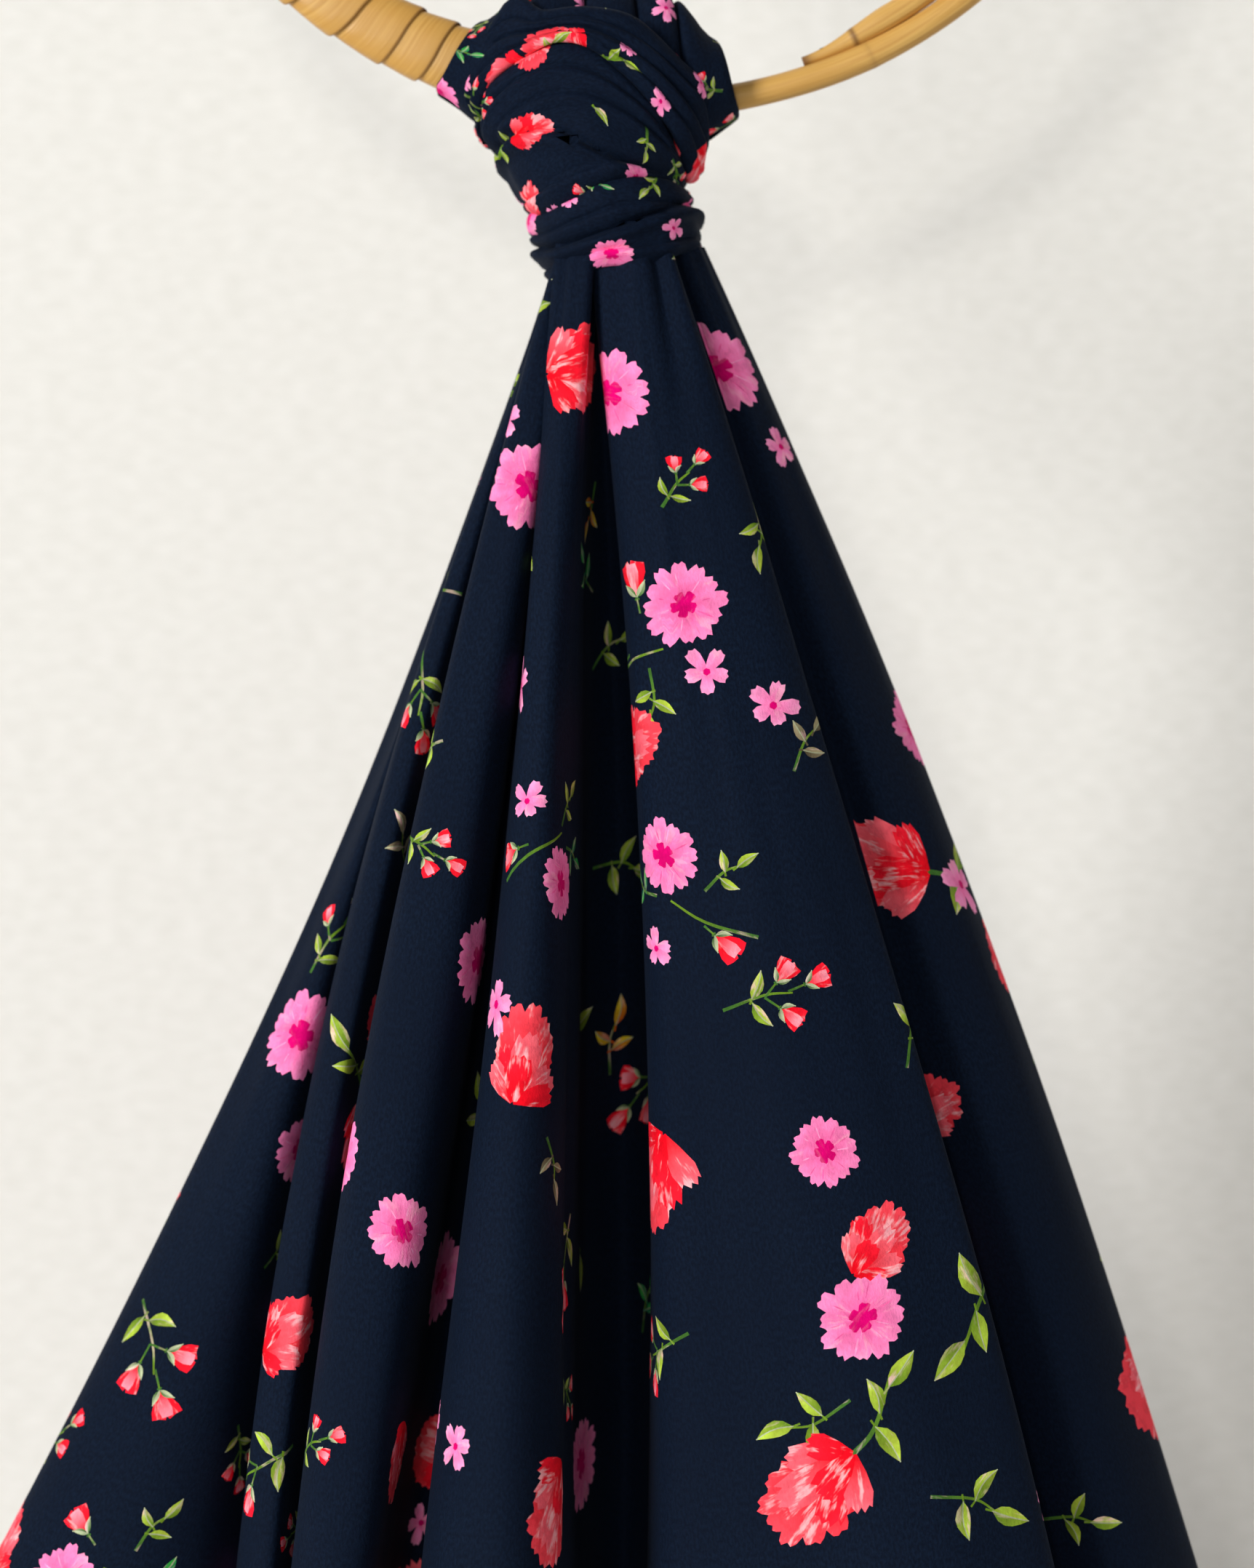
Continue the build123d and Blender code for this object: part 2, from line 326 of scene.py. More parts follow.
def stem(points, width=0.9, base=MOSS, tip=OLIVE):
    """A thin painted stem through points."""
    points = np.asarray(points, float)
    knots = np.arange(len(points), dtype=float)
    curve = spline_weights(knots, np.linspace(0, knots[-1], 3 * len(points))) @ points
    ahead = unit(np.gradient(curve, axis=0))
    aside = np.stack([-ahead[:, 1], ahead[:, 0]], axis=1)
    half = (width / 2 * np.linspace(1.15, 0.6, len(curve)))[:, None]
    outline = np.vstack([curve + aside * half, (curve - aside * half)[::-1]])
    length = float(np.linalg.norm(points[-1] - points[0]))
    return Shape(outline, base, tip, 0.4, points[0], points[-1] - points[0] + 1e-6, max(length, 1.0))


def moved(shapes, angle=0.0, shift=(0.0, 0.0), size=1.0):
    return [shape.turned(angle, shift, size) for shape in shapes]


def ruffled(rng, middle, half_width, half_height, lobes, span, depth=0.15):
    """An oval outline whose edge is torn into lobes, from -span to span radians round from the top."""
    outline = []
    per_lobe = 6
    for i in range(lobes):
        height, lean = rng.uniform(0.9, 1.08), rng.uniform(-0.2, 0.2)
        teeth = (1 - depth, 0.96, 1.0, 0.95, 1.01, 0.93)
        for k in range(per_lobe):
            angle = span * (2 * (i + (k + lean * math.sin(math.pi * k / per_lobe)) / per_lobe) / lobes - 1)
            far = teeth[k] * (height if k else 1.0) + rng.uniform(-0.025, 0.025)
            x = middle[0] + half_width * far * math.sin(angle)
            y = middle[1] + half_height * far * math.cos(angle)
            outline.append((x, y))
    return outline


# Inner petals of a peony: lean, reach, width, and 1 where the tip is paler.
PEONY_PETALS = (
    (-0.62, 0.62, 0.3, 1), (0.55, 0.66, 0.3, 0), (-0.1, 0.8, 0.32, 1), (0.95, 0.5, 0.26, 1),
    (-1.0, 0.46, 0.24, 0), (0.2, 0.5, 0.3, 0),
)
# Leaves on its stem: x, y, turn and length. All but the turn are shares of its size.
PEONY_LEAVES = ((-0.12, -0.40, 1.9, 0.32), (-0.06, -0.30, -1.5, 0.38), (-0.24, -0.60, 2.9, 0.38))


def peony(rng, size, leaves=True):
    """A side-on ruffled flower that opens along +Y, with a sepal cup, a stem and three leaves."""
    foot = -size * 0.44
    shapes = []
    if leaves:
        curve = [(0, foot), (-size * 0.05, foot - size * 0.28), (-size * 0.3, foot - size * 0.66)]
        shapes.append(stem(curve, 1.3))
        for x, y, turn, scale in PEONY_LEAVES:
            shapes += moved(leaf(rng, size * scale, size * scale * 0.44), turn, (size * x, foot + size * y))
    for turn in (0.9, -0.8):
        shapes += moved(leaf(rng, size * 0.24, size * 0.1, MOSS, SAGE), turn, (0, foot + size * 0.03))
    head = ruffled(rng, (size * rng.uniform(-0.03, 0.05), size * 0.48), size * 0.40, size * 0.52, 9, 2.35)
    blush = CORAL * 0.82 + ROSE * 0.18
    parts = [Shape(head + [(0.0, 0.0)], CRIMSON, blush, 0.72, length=size * 1.15, radial=True)]
    for angle, far, width, pale in PEONY_PETALS:
        angle += rng.uniform(-0.12, 0.12)
        reach = size * far * rng.uniform(0.9, 1.08)
        tip = CORAL * 0.6 + ROSE * 0.4 if pale else CORAL
        parts.append(petal(rng, reach, size * width, 3, CRIMSON, tip, 0.75).turned(-angle))
    return shapes + moved(parts, 0.0, (0, foot))


def rosebud(rng, size):
    return peony(rng, size, False)


def daisy(rng, size):
    """A round flower of soft torn petals, seen face on."""
    rim = ruffled(rng, (0, 0), size * 0.47, size * 0.5, 12, math.pi, 0.2)
    shapes = [Shape(rim, HOT_PINK, PINK * 0.6 + PALE_PINK * 0.4, 0.3, length=size * 0.5, radial=True)]
    for i in range(9):
        angle = 2 * math.pi * (i + rng.uniform(-0.3, 0.3)) / 9
        near = size * rng.uniform(0.16, 0.26)
        colour = rng.choice((HOT_PINK, HOT_PINK * 0.9, PALE_PINK))
        far, width = size * rng.uniform(0.30, 0.42), size * rng.uniform(0.012, 0.025)
        shapes.append(sliver(angle, near, far, width, colour))
    heart = ruffled(rng, (0, 0), size * 0.15, size * 0.18, 5, math.pi, 0.45)
    shapes.append(Shape(heart, MAGENTA, MAGENTA * 0.9, 0.1, length=size))
    return shapes


def blossom(rng, size):
    """A small five-petalled flower."""
    shapes = []
    for i in range(5):
        angle = 2 * math.pi * i / 5 + rng.uniform(-0.16, 0.16)
        reach = size * 0.56 * rng.uniform(0.75, 1.15)
        shapes.append(petal(rng, reach, size * 0.34, 2, PINK, PALE_PINK, 0.4).turned(angle))
    eye = [(size * 0.09 * math.sin(i), size * 0.09 * math.cos(i)) for i in range(6)]
    shapes.append(Shape(eye, MAGENTA, MAGENTA, length=size))
    return shapes


def bud(rng, size):
    """A closed bud along +Y in a green cup."""
    shapes = [stem([(0, -size * 0.5), (0, 0.3)], 0.6)]
    for angle in (-0.3, 0.28):
        shapes.append(petal(rng, size, size * 0.5, 1, CRIMSON, CORAL, 0.6).turned(angle))
    shapes.append(petal(rng, size * 0.92, size * 0.42, 1, CORAL, ROSE, 0.5).turned(rng.uniform(-0.1, 0.1)))
    for angle in (-0.75, 0.7):
        shapes += moved(leaf(rng, size * 0.55, size * 0.2, MOSS, SAGE), angle, (0, -size * 0.06))
    return shapes


def bud_spray(rng, size):
    """Three buds and two small leaves on one branching stem."""
    shapes = [stem([(0, -size * 0.55), (size * 0.06, 0), (0, size * 0.35)], 0.8)]
    for side in (-1.0, 0.0, 1.0):
        angle = side * 0.75 + rng.uniform(-0.15, 0.15)
        start = (0.03 * size, size * (0.30 - 0.30 * abs(side)))
        end = (start[0] - math.sin(angle) * size * 0.26, start[1] + math.cos(angle) * size * 0.26)
        shapes.append(stem([start, ((start[0] + end[0]) / 2, (start[1] + end[1]) / 2), end], 0.6))
        shapes += moved(bud(rng, size * 0.34), angle, end)
    for x, turn in ((0.05, -1.0), (0.0, 1.1)):
        shapes += moved(leaf(rng, size * 0.38, size * 0.15), turn, (size * x, -size * rng.uniform(0.1, 0.35)))
    return shapes


# Leaves of a sprig: length, width, turn, x and y. All but the turn are shares of its size.
SPRIG_LEAVES = ((0.48, 0.2, 0.05, 0, 0.25), (0.42, 0.18, -1.1, 0.06, 0.02), (0.42, 0.18, 1.15, 0.03, -0.12))


def leaf_sprig(rng, size, base=OLIVE, tip=LIME):
    """Three leaves on a curved stem."""
    shapes = [stem([(0, -size * 0.5), (size * 0.08, 0), (0, size * 0.3)], 0.8)]
    for long, wide, turn, x, y in SPRIG_LEAVES:
        shapes += moved(leaf(rng, size * long, size * wide, base, tip), turn, (size * x, size * y))
    return shapes


def dried_sprig(rng, size):
    return leaf_sprig(rng, size, DRIED, STRAW)


def fresh_sprig(rng, size):
    return leaf_sprig(rng, size, TEAL, SPRING)


def autumn_sprig(rng, size):
    return leaf_sprig(rng, size, ORANGE, YELLOW)


def single_leaf(rng, size):
    return leaf(rng, size, size * 0.4)


def posy(rng, size):
    """Flowers and leaves in turn round a short stem, in an order and at angles drawn anew each time."""
    shapes = [stem([(0, -size * 0.6), (size * rng.uniform(-0.06, 0.06), -size * 0.2), (0, size * 0.1)], 0.9)]
    makers = [daisy, blossom, leaf_sprig, bud, fresh_sprig]
    rng.shuffle(makers)
    first = rng.uniform(0, 2 * math.pi)
    for i, make in enumerate(makers):
        angle = first + 2 * math.pi * (i + rng.uniform(-0.2, 0.2)) / len(makers)
        reach = size * rng.uniform(0.3, 0.42)
        share = {daisy: 0.55, blossom: 0.28, bud: 0.24}.get(make, 0.4)
        at = (-math.sin(angle) * reach, math.cos(angle) * reach)
        shapes += moved(make(rng, size * share), angle, at)
    return shapes


# ---------------------------------------------------------------- cutting the print into a sheet's mesh
EDGE_MARGIN = 0.4
SMALLEST_AREA = 0.12


def area(outline):
    x, y = outline[:, 0], outline[:, 1]
    return 0.5 * float(np.sum(x * np.roll(y, -1) - y * np.roll(x, -1)))


def fitted(sheet, panel, outline):
    """An outline drawn in to the panel's own stretch of cloth, or None if little of it is left."""
    flat = sheet.flat_s[panel]
    v = np.clip(outline[:, 1], sheet.flat_v[0] + EDGE_MARGIN, sheet.flat_v[-1] - EDGE_MARGIN)
    low = np.interp(v, sheet.flat_v, flat[:, 0]) + EDGE_MARGIN
    high = np.interp(v, sheet.flat_v, flat[:, -1]) - EDGE_MARGIN
    s = np.clip(outline[:, 0], low, np.maximum(high, low))
    kept = np.stack([s, v], axis=1)
    step = np.linalg.norm(kept - np.roll(kept, 1, axis=0), axis=1)
    kept = kept[step > 0.02]
    if len(kept) < 3 or abs(area(kept)) < SMALLEST_AREA:
        return None
    return kept if area(kept) > 0 else kept[::-1]


def sample(sheet, panel, flat):
    """Places and normals of the sheet at flat cloth points of one panel."""
    left, last = sheet.seams[panel], sheet.places.shape[1] - 2
    row = np.interp(flat[:, 1], sheet.flat_v, np.arange(len(sheet.flat_v)))
    first = np.minimum(row.astype(int), len(sheet.flat_v) - 2)
    share = row - first
    places, normals = np.zeros((len(flat), 3)), np.zeros((len(flat), 3))
    for r in np.unique(first):
        pick = first == r
        for k, weight in ((r, 1 - share[pick]), (r + 1, share[pick])):
            line = sheet.flat_s[panel][k]
            col = np.interp(flat[pick, 0], line, np.arange(len(line))) + left
            c = np.minimum(col.astype(int), last)
            g = (col - c)[:, None]
            weight = weight[:, None]
            places[pick] += weight * (sheet.places[k, c] * (1 - g) + sheet.places[k, c + 1] * g)
            normals[pick] += weight * (sheet.normals[k, c] * (1 - g) + sheet.normals[k, c + 1] * g)
    return places, unit(normals)


def inside_outline(points, outline):
    """Which points lie within a closed outline."""
    x, y = points[:, :1], points[:, 1:]
    (ax, ay), (bx, by) = outline.T, np.roll(outline, -1, axis=0).T
    rise = np.where(by == ay, 1e-9, by - ay)
    crossed = ((ay > y) != (by > y)) & (x < ax + (y - ay) * (bx - ax) / rise)
    return crossed.sum(axis=1) % 2 == 1


def topmost(middles, outlines):
    """The last laid outline that covers each triangle, or -1."""
    top = np.full(len(middles), -1)
    for index, outline in enumerate(outlines):
        low, high = outline.min(axis=0), outline.max(axis=0)
        near = np.flatnonzero(((middles > low) & (middles < high)).all(axis=1))
        top[near[inside_outline(middles[near], outline)]] = index
    return top


def cut_panel(sheet, panel):
    """Triangles of one panel with its print cut in: places, normals, flat points, triangles, top shape."""
    left, right = sheet.seams[panel], sheet.seams[panel + 1]
    cols, rows = sheet.mesh_cols(left, right), sheet.mesh_rows()
    flat = sheet.flat_s[panel]
    across = len(cols)
    points = [(float(flat[r, c - left]), float(sheet.flat_v[r])) for r in rows for c in cols]
    home = [(r, c) for r in rows for c in cols]
    edges = [(i * across + j, i * across + j + 1) for i in (0, len(rows) - 1) for j in range(across - 1)]
    edges += [(i * across + j, (i + 1) * across + j) for j in range(across) for i in range(len(rows) - 1)]
    cut = [i for i, row in enumerate(rows) if row in sheet.cut_rows]
    edges += [(i * across + j, i * across + j + 1) for i in cut for j in range(across - 1)]
    shapes, outlines = [], []
    for at_panel, motif in sheet.motifs:
        for shape in motif if at_panel == panel else ():
            outline = fitted(sheet, panel, shape.outline)
            if outline is not None:
                first, count = len(points), len(outline)
                edges += [(first + i, first + (i + 1) % count) for i in range(count)]
                points += [tuple(p) for p in outline]
                shapes.append(shape)
                outlines.append(outline)
    made = delaunay_2d_cdt([Vector(p) for p in points], edges, [], 0, 1e-4, True)
    flat_points = np.array([tuple(p) for p in made[0]], float)
    places, normals = sample(sheet, panel, flat_points)
    for i, origins in enumerate(made[3]):
        own = [o for o in origins if o < len(home)]
        if own:
            r, c = home[own[0]]
            flat_points[i] = points[own[0]]
            places[i], normals[i] = sheet.places[r, c], sheet.normals[r, c]
    triangles = np.array(made[2], int)
    middle = flat_points[triangles].mean(axis=1)
    row_v = sheet.flat_v[rows]
    low = np.interp(middle[:, 1], row_v, flat[rows, 0])
    high = np.interp(middle[:, 1], row_v, flat[rows, -1])
    inside = (middle[:, 0] > low) & (middle[:, 0] < high)
    triangles, middle = triangles[inside], middle[inside]
    return places, normals, flat_points, triangles, topmost(middle, outlines), shapes


def paint_corners(flat_points, triangles, top, shapes, panel):
    """Colours, strokes, cloth coordinates and print mask of each triangle corner."""
    corners = flat_points[triangles.ravel()]
    tint = np.zeros((len(corners), 4))
    stroke = np.zeros((len(corners), 3))
    owner = np.repeat(top, 3)
    for index, shape in enumerate(shapes):
        pick = owner == index
        if pick.any():
            tint[pick], stroke[pick] = shape.paint(corners[pick])
    cloth = np.concatenate([corners, np.full((len(corners), 1), 37.0 * panel)], axis=1)
    return tint, stroke, cloth, (owner >= 0).astype(float)


def cut_sheet(sheet):
    """The printed side of a whole sheet: vertices welded across panels, triangles and painted corners."""
    stacks = [[] for _ in range(7)]
    start = 0
    for panel in range(len(sheet.flat_s)):
        places, normals, flat_points, triangles, top, shapes = cut_panel(sheet, panel)
        painted = paint_corners(flat_points, triangles, top, shapes, panel)
        for stack, value in zip(stacks, (places, normals, triangles + start, *painted)):
            stack.append(value)
        start += len(places)
    places, normals, triangles, *painted = [np.concatenate(stack) for stack in stacks]
    _, first, inverse = np.unique(places.round(4), axis=0, return_index=True, return_inverse=True)
    triangles = inverse.ravel()[triangles]
    sound = (triangles != np.roll(triangles, 1, axis=1)).all(axis=1)
    single = np.zeros(len(triangles), bool)
    single[np.unique(np.sort(triangles, axis=1), axis=0, return_index=True)[1]] = True
    sound &= single
    painted = [values[np.repeat(sound, 3)] for values in painted]
    return places[first], normals[first], triangles[sound], painted


def between_rows(sheet, printed, first_row, last_row):
    """The part of a sheet's printed side that lies between two rows."""
    places, normals, triangles, painted = printed
    along = painted[2].reshape(-1, 3, 3)[:, :, 1].mean(axis=1)
    keep = (along > sheet.flat_v[first_row]) & (along < sheet.flat_v[last_row])
    used, kept = np.unique(triangles[keep], return_inverse=True)
    painted = [values[np.repeat(keep, 3)] for values in painted]
    return places[used], normals[used], kept.reshape(-1, 3), painted


def facing_out(places, normals, triangles, painted):
    """Triangles, and their painted corners, all wound so that they face along the normals."""
    first, second, third = (places[triangles[:, k]] for k in range(3))
    facing = np.einsum("ij,ij->i", np.cross(second - first, third - first), normals[triangles[:, 0]])
    order = np.where((facing < 0)[:, None], [0, 2, 1], [0, 1, 2])
    corners = (np.arange(len(triangles))[:, None] * 3 + order).ravel()
    return np.take_along_axis(triangles, order, axis=1), [values[corners] for values in painted]


def open_edges(triangles):
    """Edges that only one triangle has."""
    edges = np.stack([triangles, np.roll(triangles, -1, axis=1)], axis=2).reshape(-1, 2)
    keys = {(int(a), int(b)) for a, b in edges}
    return sorted((a, b) for a, b in keys if (b, a) not in keys)


def reverse_side(sheet, grid_rows):
    """Places and normals of the plain reverse, and the count of its columns."""
    panels = zip(sheet.seams, sheet.seams[1:])
    cols = sorted({col for left, right in panels for col in sheet.mesh_cols(left, right)})
    grid = np.ix_(grid_rows, cols)
    normals = sheet.normals[grid].reshape(-1, 3)
    return sheet.places[grid].reshape(-1, 3) - normals * (CLOTH_THICKNESS / 2), normals, len(cols)


def grid_quads(first, rows, across):
    """Faces of a grid of vertices that starts at first."""
    corners = [first + i * across + j for i in range(rows - 1) for j in range(across - 1)]
    return [(a, a + 1, a + across + 1, a + across) for a in corners]


def paint_mesh(mesh, verts, painted):
    """Gives each corner its painted values; the reverse and the rim get cloth coordinates only."""
    printed_corners = len(painted[0])
    loops = np.empty(len(mesh.loops), int)
    mesh.loops.foreach_get("vertex_index", loops)
    plain = verts[loops[printed_corners:]]
    kinds = (
        ("tint", "FLOAT_COLOR", "color"), ("stroke", "FLOAT_VECTOR", "vector"),
        ("cloth", "FLOAT_VECTOR", "vector"), ("print", "FLOAT", "value"),
    )
    for (key, kind, field), values in zip(kinds, painted):
        rest = plain[:, [0, 2, 1]] if key == "cloth" else np.zeros((len(plain), *values.shape[1:]))
        filled = np.concatenate([values, rest]).astype(np.float32)
        mesh.attributes.new(key, kind, "CORNER").data.foreach_set(field, filled.ravel())


def build_cloth(name, sheet, printed, material, rows=None):
    """A closed mesh piece: the printed side, a plain reverse and a rim. rows keeps part of the sheet."""
    grid_rows = sheet.mesh_rows()
    if rows is not None:
        grid_rows = [row for row in grid_rows if rows[0] <= row <= rows[1]]
        printed = between_rows(sheet, printed, *rows)
    places, normals = printed[:2]
    triangles, painted = facing_out(*printed)
    count, half = len(places), CLOTH_THICKNESS / 2
    rim = open_edges(triangles)
    rim_verts = sorted({vert for vert, _ in rim})
    lower = {vert: count + i for i, vert in enumerate(rim_verts)}
    back, back_normals, across = reverse_side(sheet, grid_rows)
    verts = np.vstack([places + normals * half, places[rim_verts] - normals[rim_verts] * half, back])
    quads = grid_quads(count + len(rim_verts), len(grid_rows), across)
    a, b, _, d = quads[0]
    if np.cross(verts[b] - verts[a], verts[d] - verts[a]) @ back_normals[0] > 0:
        quads = [quad[::-1] for quad in quads]
    mesh = bpy.data.meshes.new(name)
    walls = [(b, a, lower[a], lower[b]) for a, b in rim]
    mesh.from_pydata((verts * MM).tolist(), [], triangles.tolist() + walls + quads)
    paint_mesh(mesh, verts, painted)
    mesh.shade_smooth()
    facing = np.vstack([normals, -normals[rim_verts], -back_normals])
    mesh.normals_split_custom_set_from_vertices(facing.tolist())
    mesh.materials.append(material)
    return placed_object(name, mesh)


# ---------------------------------------------------------------- materials
def new_material(name):
    material = bpy.data.materials.new(name)
    material.use_nodes = True
    tree = material.node_tree
    return material, tree, tree.nodes["Principled BSDF"]


def add(tree, kind, **values):
    node = tree.nodes.new(kind)
    for key, value in values.items():
        if hasattr(node, key):
            setattr(node, key, value)
        else:
            node.inputs[key].default_value = value
    return node


def attribute(tree, name):
    return add(tree, "ShaderNodeAttribute", attribute_name=name)


def stretched(tree, source, scale):
    node = add(tree, "ShaderNodeVectorMath", operation="MULTIPLY")
    tree.links.new(source, node.inputs[0])
    node.inputs[1].default_value = scale
    return node.outputs[0]


def noise(tree, vector, scale, detail=2.0, roughness=0.5):
    node = add(tree, "ShaderNodeTexNoise")
    node.inputs["Scale"].default_value = scale
    node.inputs["Detail"].default_value = detail
    node.inputs["Roughness"].default_value = roughness
    tree.links.new(vector, node.inputs["Vector"])
    return node.outputs[0]


def remap(tree, value, low, high, to_low=0.0, to_high=1.0):
    node = add(tree, "ShaderNodeMapRange", interpolation_type="SMOOTHSTEP")
    for key, number in zip((1, 2, 3, 4), (low, high, to_low, to_high)):
        node.inputs[key].default_value = number
    tree.links.new(value, node.inputs[0])
    return node.outputs[0]


def math_node(tree, operation, a, b):
    node = add(tree, "ShaderNodeMath", operation=operation)
    for index, value in enumerate((a, b)):
        if isinstance(value, (int, float)):
            node.inputs[index].default_value = value
        else:
            tree.links.new(value, node.inputs[index])
    return node.outputs[0]


def mix_colour(tree, factor, a, b, blend_type="MIX"):
    node = add(tree, "ShaderNodeMix", data_type="RGBA", blend_type=blend_type)
    for socket, value in ((node.inputs[0], factor), (node.inputs[6], a), (node.inputs[7], b)):
        if isinstance(value, (int, float)):
            socket.default_value = value
        elif isinstance(value, (tuple, list, np.ndarray)):
            socket.default_value = (*[float(v) for v in value][:3], 1.0)
        else:
            tree.links.new(value, socket)
    return node.outputs[2]


def bump(tree, height, distance, strength=1.0, normal=None):
    node = add(tree, "ShaderNodeBump")
    node.inputs["Strength"].default_value = strength
    node.inputs["Distance"].default_value = distance
    tree.links.new(height, node.inputs["Height"])
    if normal is not None:
        tree.links.new(normal, node.inputs["Normal"])
    return node.outputs[0]


def set_surface(tree, shader, colour, **values):
    """Links a surface's colour and sets its other values, named with _ for each space."""
    tree.links.new(colour, shader.inputs["Base Color"])
    for name, value in values.items():
        shader.inputs[name.replace("_", " ")].default_value = value


NAVY, NAVY_LIGHT = rgb(9, 19, 36), rgb(14, 27, 47)


def cloth_material():
    """Dark crepe with a matte pebbled grain, and watercolour paint where the print mask is set."""
    material, tree, shader = new_material("printed_crepe")
    flat, stroke, tint = attribute(tree, "cloth"), attribute(tree, "stroke"), attribute(tree, "tint")
    mask = attribute(tree, "print").outputs["Fac"]
    weave = noise(tree, stretched(tree, flat.outputs["Vector"], (1.5, 0.75, 1.0)), 1.0, 3.0, 0.6)
    fine = noise(tree, stretched(tree, flat.outputs["Vector"], (3.4, 2.2, 1.0)), 1.0, 2.0)
    wide = noise(tree, flat.outputs["Vector"], 0.02, 2.0)
    ground = mix_colour(tree, remap(tree, weave, 0.35, 0.7), NAVY * 0.82, NAVY_LIGHT)
    ground = mix_colour(tree, remap(tree, wide, 0.3, 0.7, 0.0, 0.35), ground, NAVY * 0.9)

    cloud = noise(tree, stretched(tree, stroke.outputs["Vector"], (0.30, 0.11, 2.9)), 1.0, 3.0, 0.6)
    thread = noise(tree, stretched(tree, stroke.outputs["Vector"], (1.3, 0.12, 3.1)), 1.0, 2.0, 0.6)
    thread = math_node(tree, "MULTIPLY", math_node(tree, "SUBTRACT", thread, 0.5), 0.45)
    streak = math_node(tree, "ADD", cloud, thread)
    streak = math_node(tree, "MULTIPLY", remap(tree, streak, 0.53, 0.70, 0.0, 0.9), tint.outputs["Alpha"])
    blot = noise(tree, stretched(tree, stroke.outputs["Vector"], (0.30, 0.22, 1.7)), 1.0, 2.0)
    paint = mix_colour(tree, streak, tint.outputs["Color"], rgb(255, 206, 210))
    shade = mix_colour(tree, remap(tree, blot, 0.35, 0.65), (0.94, 0.87, 0.90), (1.14, 1.14, 1.14))
    paint = mix_colour(tree, 1.0, paint, shade, "MULTIPLY")
    grain = mix_colour(tree, remap(tree, weave, 0.3, 0.7), (0.93, 0.91, 0.93), (1.08, 1.08, 1.08))
    paint = mix_colour(tree, 1.0, paint, grain, "MULTIPLY")
    set_surface(
        tree, shader, mix_colour(tree, mask, ground, paint),
        Roughness=0.78, Specular_IOR_Level=0.06, Sheen_Weight=0.02, Sheen_Roughness=0.45,
        Sheen_Tint=(0.55, 0.65, 0.9, 1.0),
    )
    height = math_node(tree, "ADD", weave, math_node(tree, "MULTIPLY", fine, 0.4))
    tree.links.new(bump(tree, height, 0.00022, 0.75), shader.inputs["Normal"])
    return material


def thread_material():
    """Twisted dark blue sewing thread, a little lighter than the cloth."""
    material, tree, shader = new_material("sewing_thread")
    place = add(tree, "ShaderNodeTexCoord").outputs["Object"]
    twist = noise(tree, place, 2500.0, 2.0)
    set_surface(tree, shader, mix_colour(tree, twist, rgb(26, 38, 62), rgb(52, 66, 98)), Roughness=0.5)
    tree.links.new(bump(tree, twist, 0.0001, 0.5), shader.inputs["Normal"])
    return material


# ---------------------------------------------------------------- drape
# Fold lines of the drape, once round from the left selvedge at the back: (x, y) at the neck, at the
# middle and at the low level, and 1 where a valley parts two folds.
DRAPE_FOLDS = (
    (6, 17, 12, 22, 18, 30, 0),
    (0, 19, -4, 26, -8, 40, 0),
    (-6, 15, -22, 15, -40, 20, 1),
    (-11, 17, -38, 23, -68, 38, 0),
    (-14, 13, -54, 13, -100, 14, 1),
    (-18, 12, -70, 17, -132, 28, 0),
    (-21, 6, -84, 8, -160, 13, 0),
    (-22, 0, -90, -1, -176, -4, 0),
    (-21.5, -4, -85, -11, -160, -20, 0),
    (-21.2, -6.5, -81, -15, -136, -27, 0),
    (-20.8, -7.5, -77.5, -13, -116, -20, 0),
    (-20.2, -6.5, -74, -6, -106, -4, 1),
    (-20.8, -8.5, -76, -16, -107, -22, 0),
    (-20.9, -10.0, -75, -25, -104, -37, 0),
    (-20.2, -10.2, -70, -28, -97, -42, 0),
    (-19.0, -8.5, -65, -18, -91, -24, 0),
    (-18.5, -7, -61, -9, -86, -8, 1),
    (-20, -10, -62.5, -26, -88.5, -30, 0),
    (-21.5, -12.5, -64.5, -36, -91, -48, 0),
    (-20.5, -15, -60, -43, -84, -60, 0),
    (-18.8, -15, -50, -45, -74, -59, 0),
    (-17.6, -12.5, -41, -36, -67, -36, 0),
    (-16.8, -9.8, -36, -17, -60, 0, 0),
    (-16.4, -9.5, -32, -13, -52.5, -4, 1),
    (-18.5, -13, -35, -28, -54, -30, 0),
    (-19.5, -16, -36, -42, -55, -52, 0),
    (-17.5, -19, -32, -52, -47, -71, 0),
    (-14.5, -20, -26, -55, -34, -77, 0),
    (-11.8, -18.5, -19.5, -49, -22, -68, 0),
    (-10.6, -14, -15.5, -30, -15, -38, 0),
    (-10.2, -9, -12, -6, -11.5, -2, 0),
    (-9.5, -7, -3, 4, -2, 12, 0),
    (-8.8, -8, 4, -4, 6.5, 0, 1),
    (-9.6, -13, 3.2, -26, 5, -30, 0),
    (-8.5, -17.5, 6.5, -39, 10, -50, 0),
    (-1, -20.5, 18, -46, 36, -61, 0),
    (6, -20.5, 36, -49, 70, -66, 0),
    (10.5, -19, 55, -47, 98, -62, 0),
    (13.2, -16.5, 68.5, -41, 115, -52, 0),
    (13, -13, 66, -30, 110, -38, 0),
    (14.5, -10, 68, -20, 111, -22, 1),
    (19, -10, 80, -22, 131, -30, 0),
    (23, -5, 92.5, -13, 147, -18, 0),
    (24.5, 0, 97.5, -1, 156, -2, 0),
    (22.5, 7, 91, 8, 144, 16, 0),
    (18, 13, 70, 18, 122, 30, 0),
    (14, 13, 52, 13, 94, 15, 1),
    (11, 18, 36, 23, 62, 38, 0),
    (6, 15.5, 24, 16, 40, 21, 1),
    (2, 20.5, 8, 27, 14, 42, 0),
    (-4, 20, -8, 27, -14, 41, 0),
)
FLARE_EASE = 170.0
DRAPE_COLS = 1500
ROW_STEP = 3.0


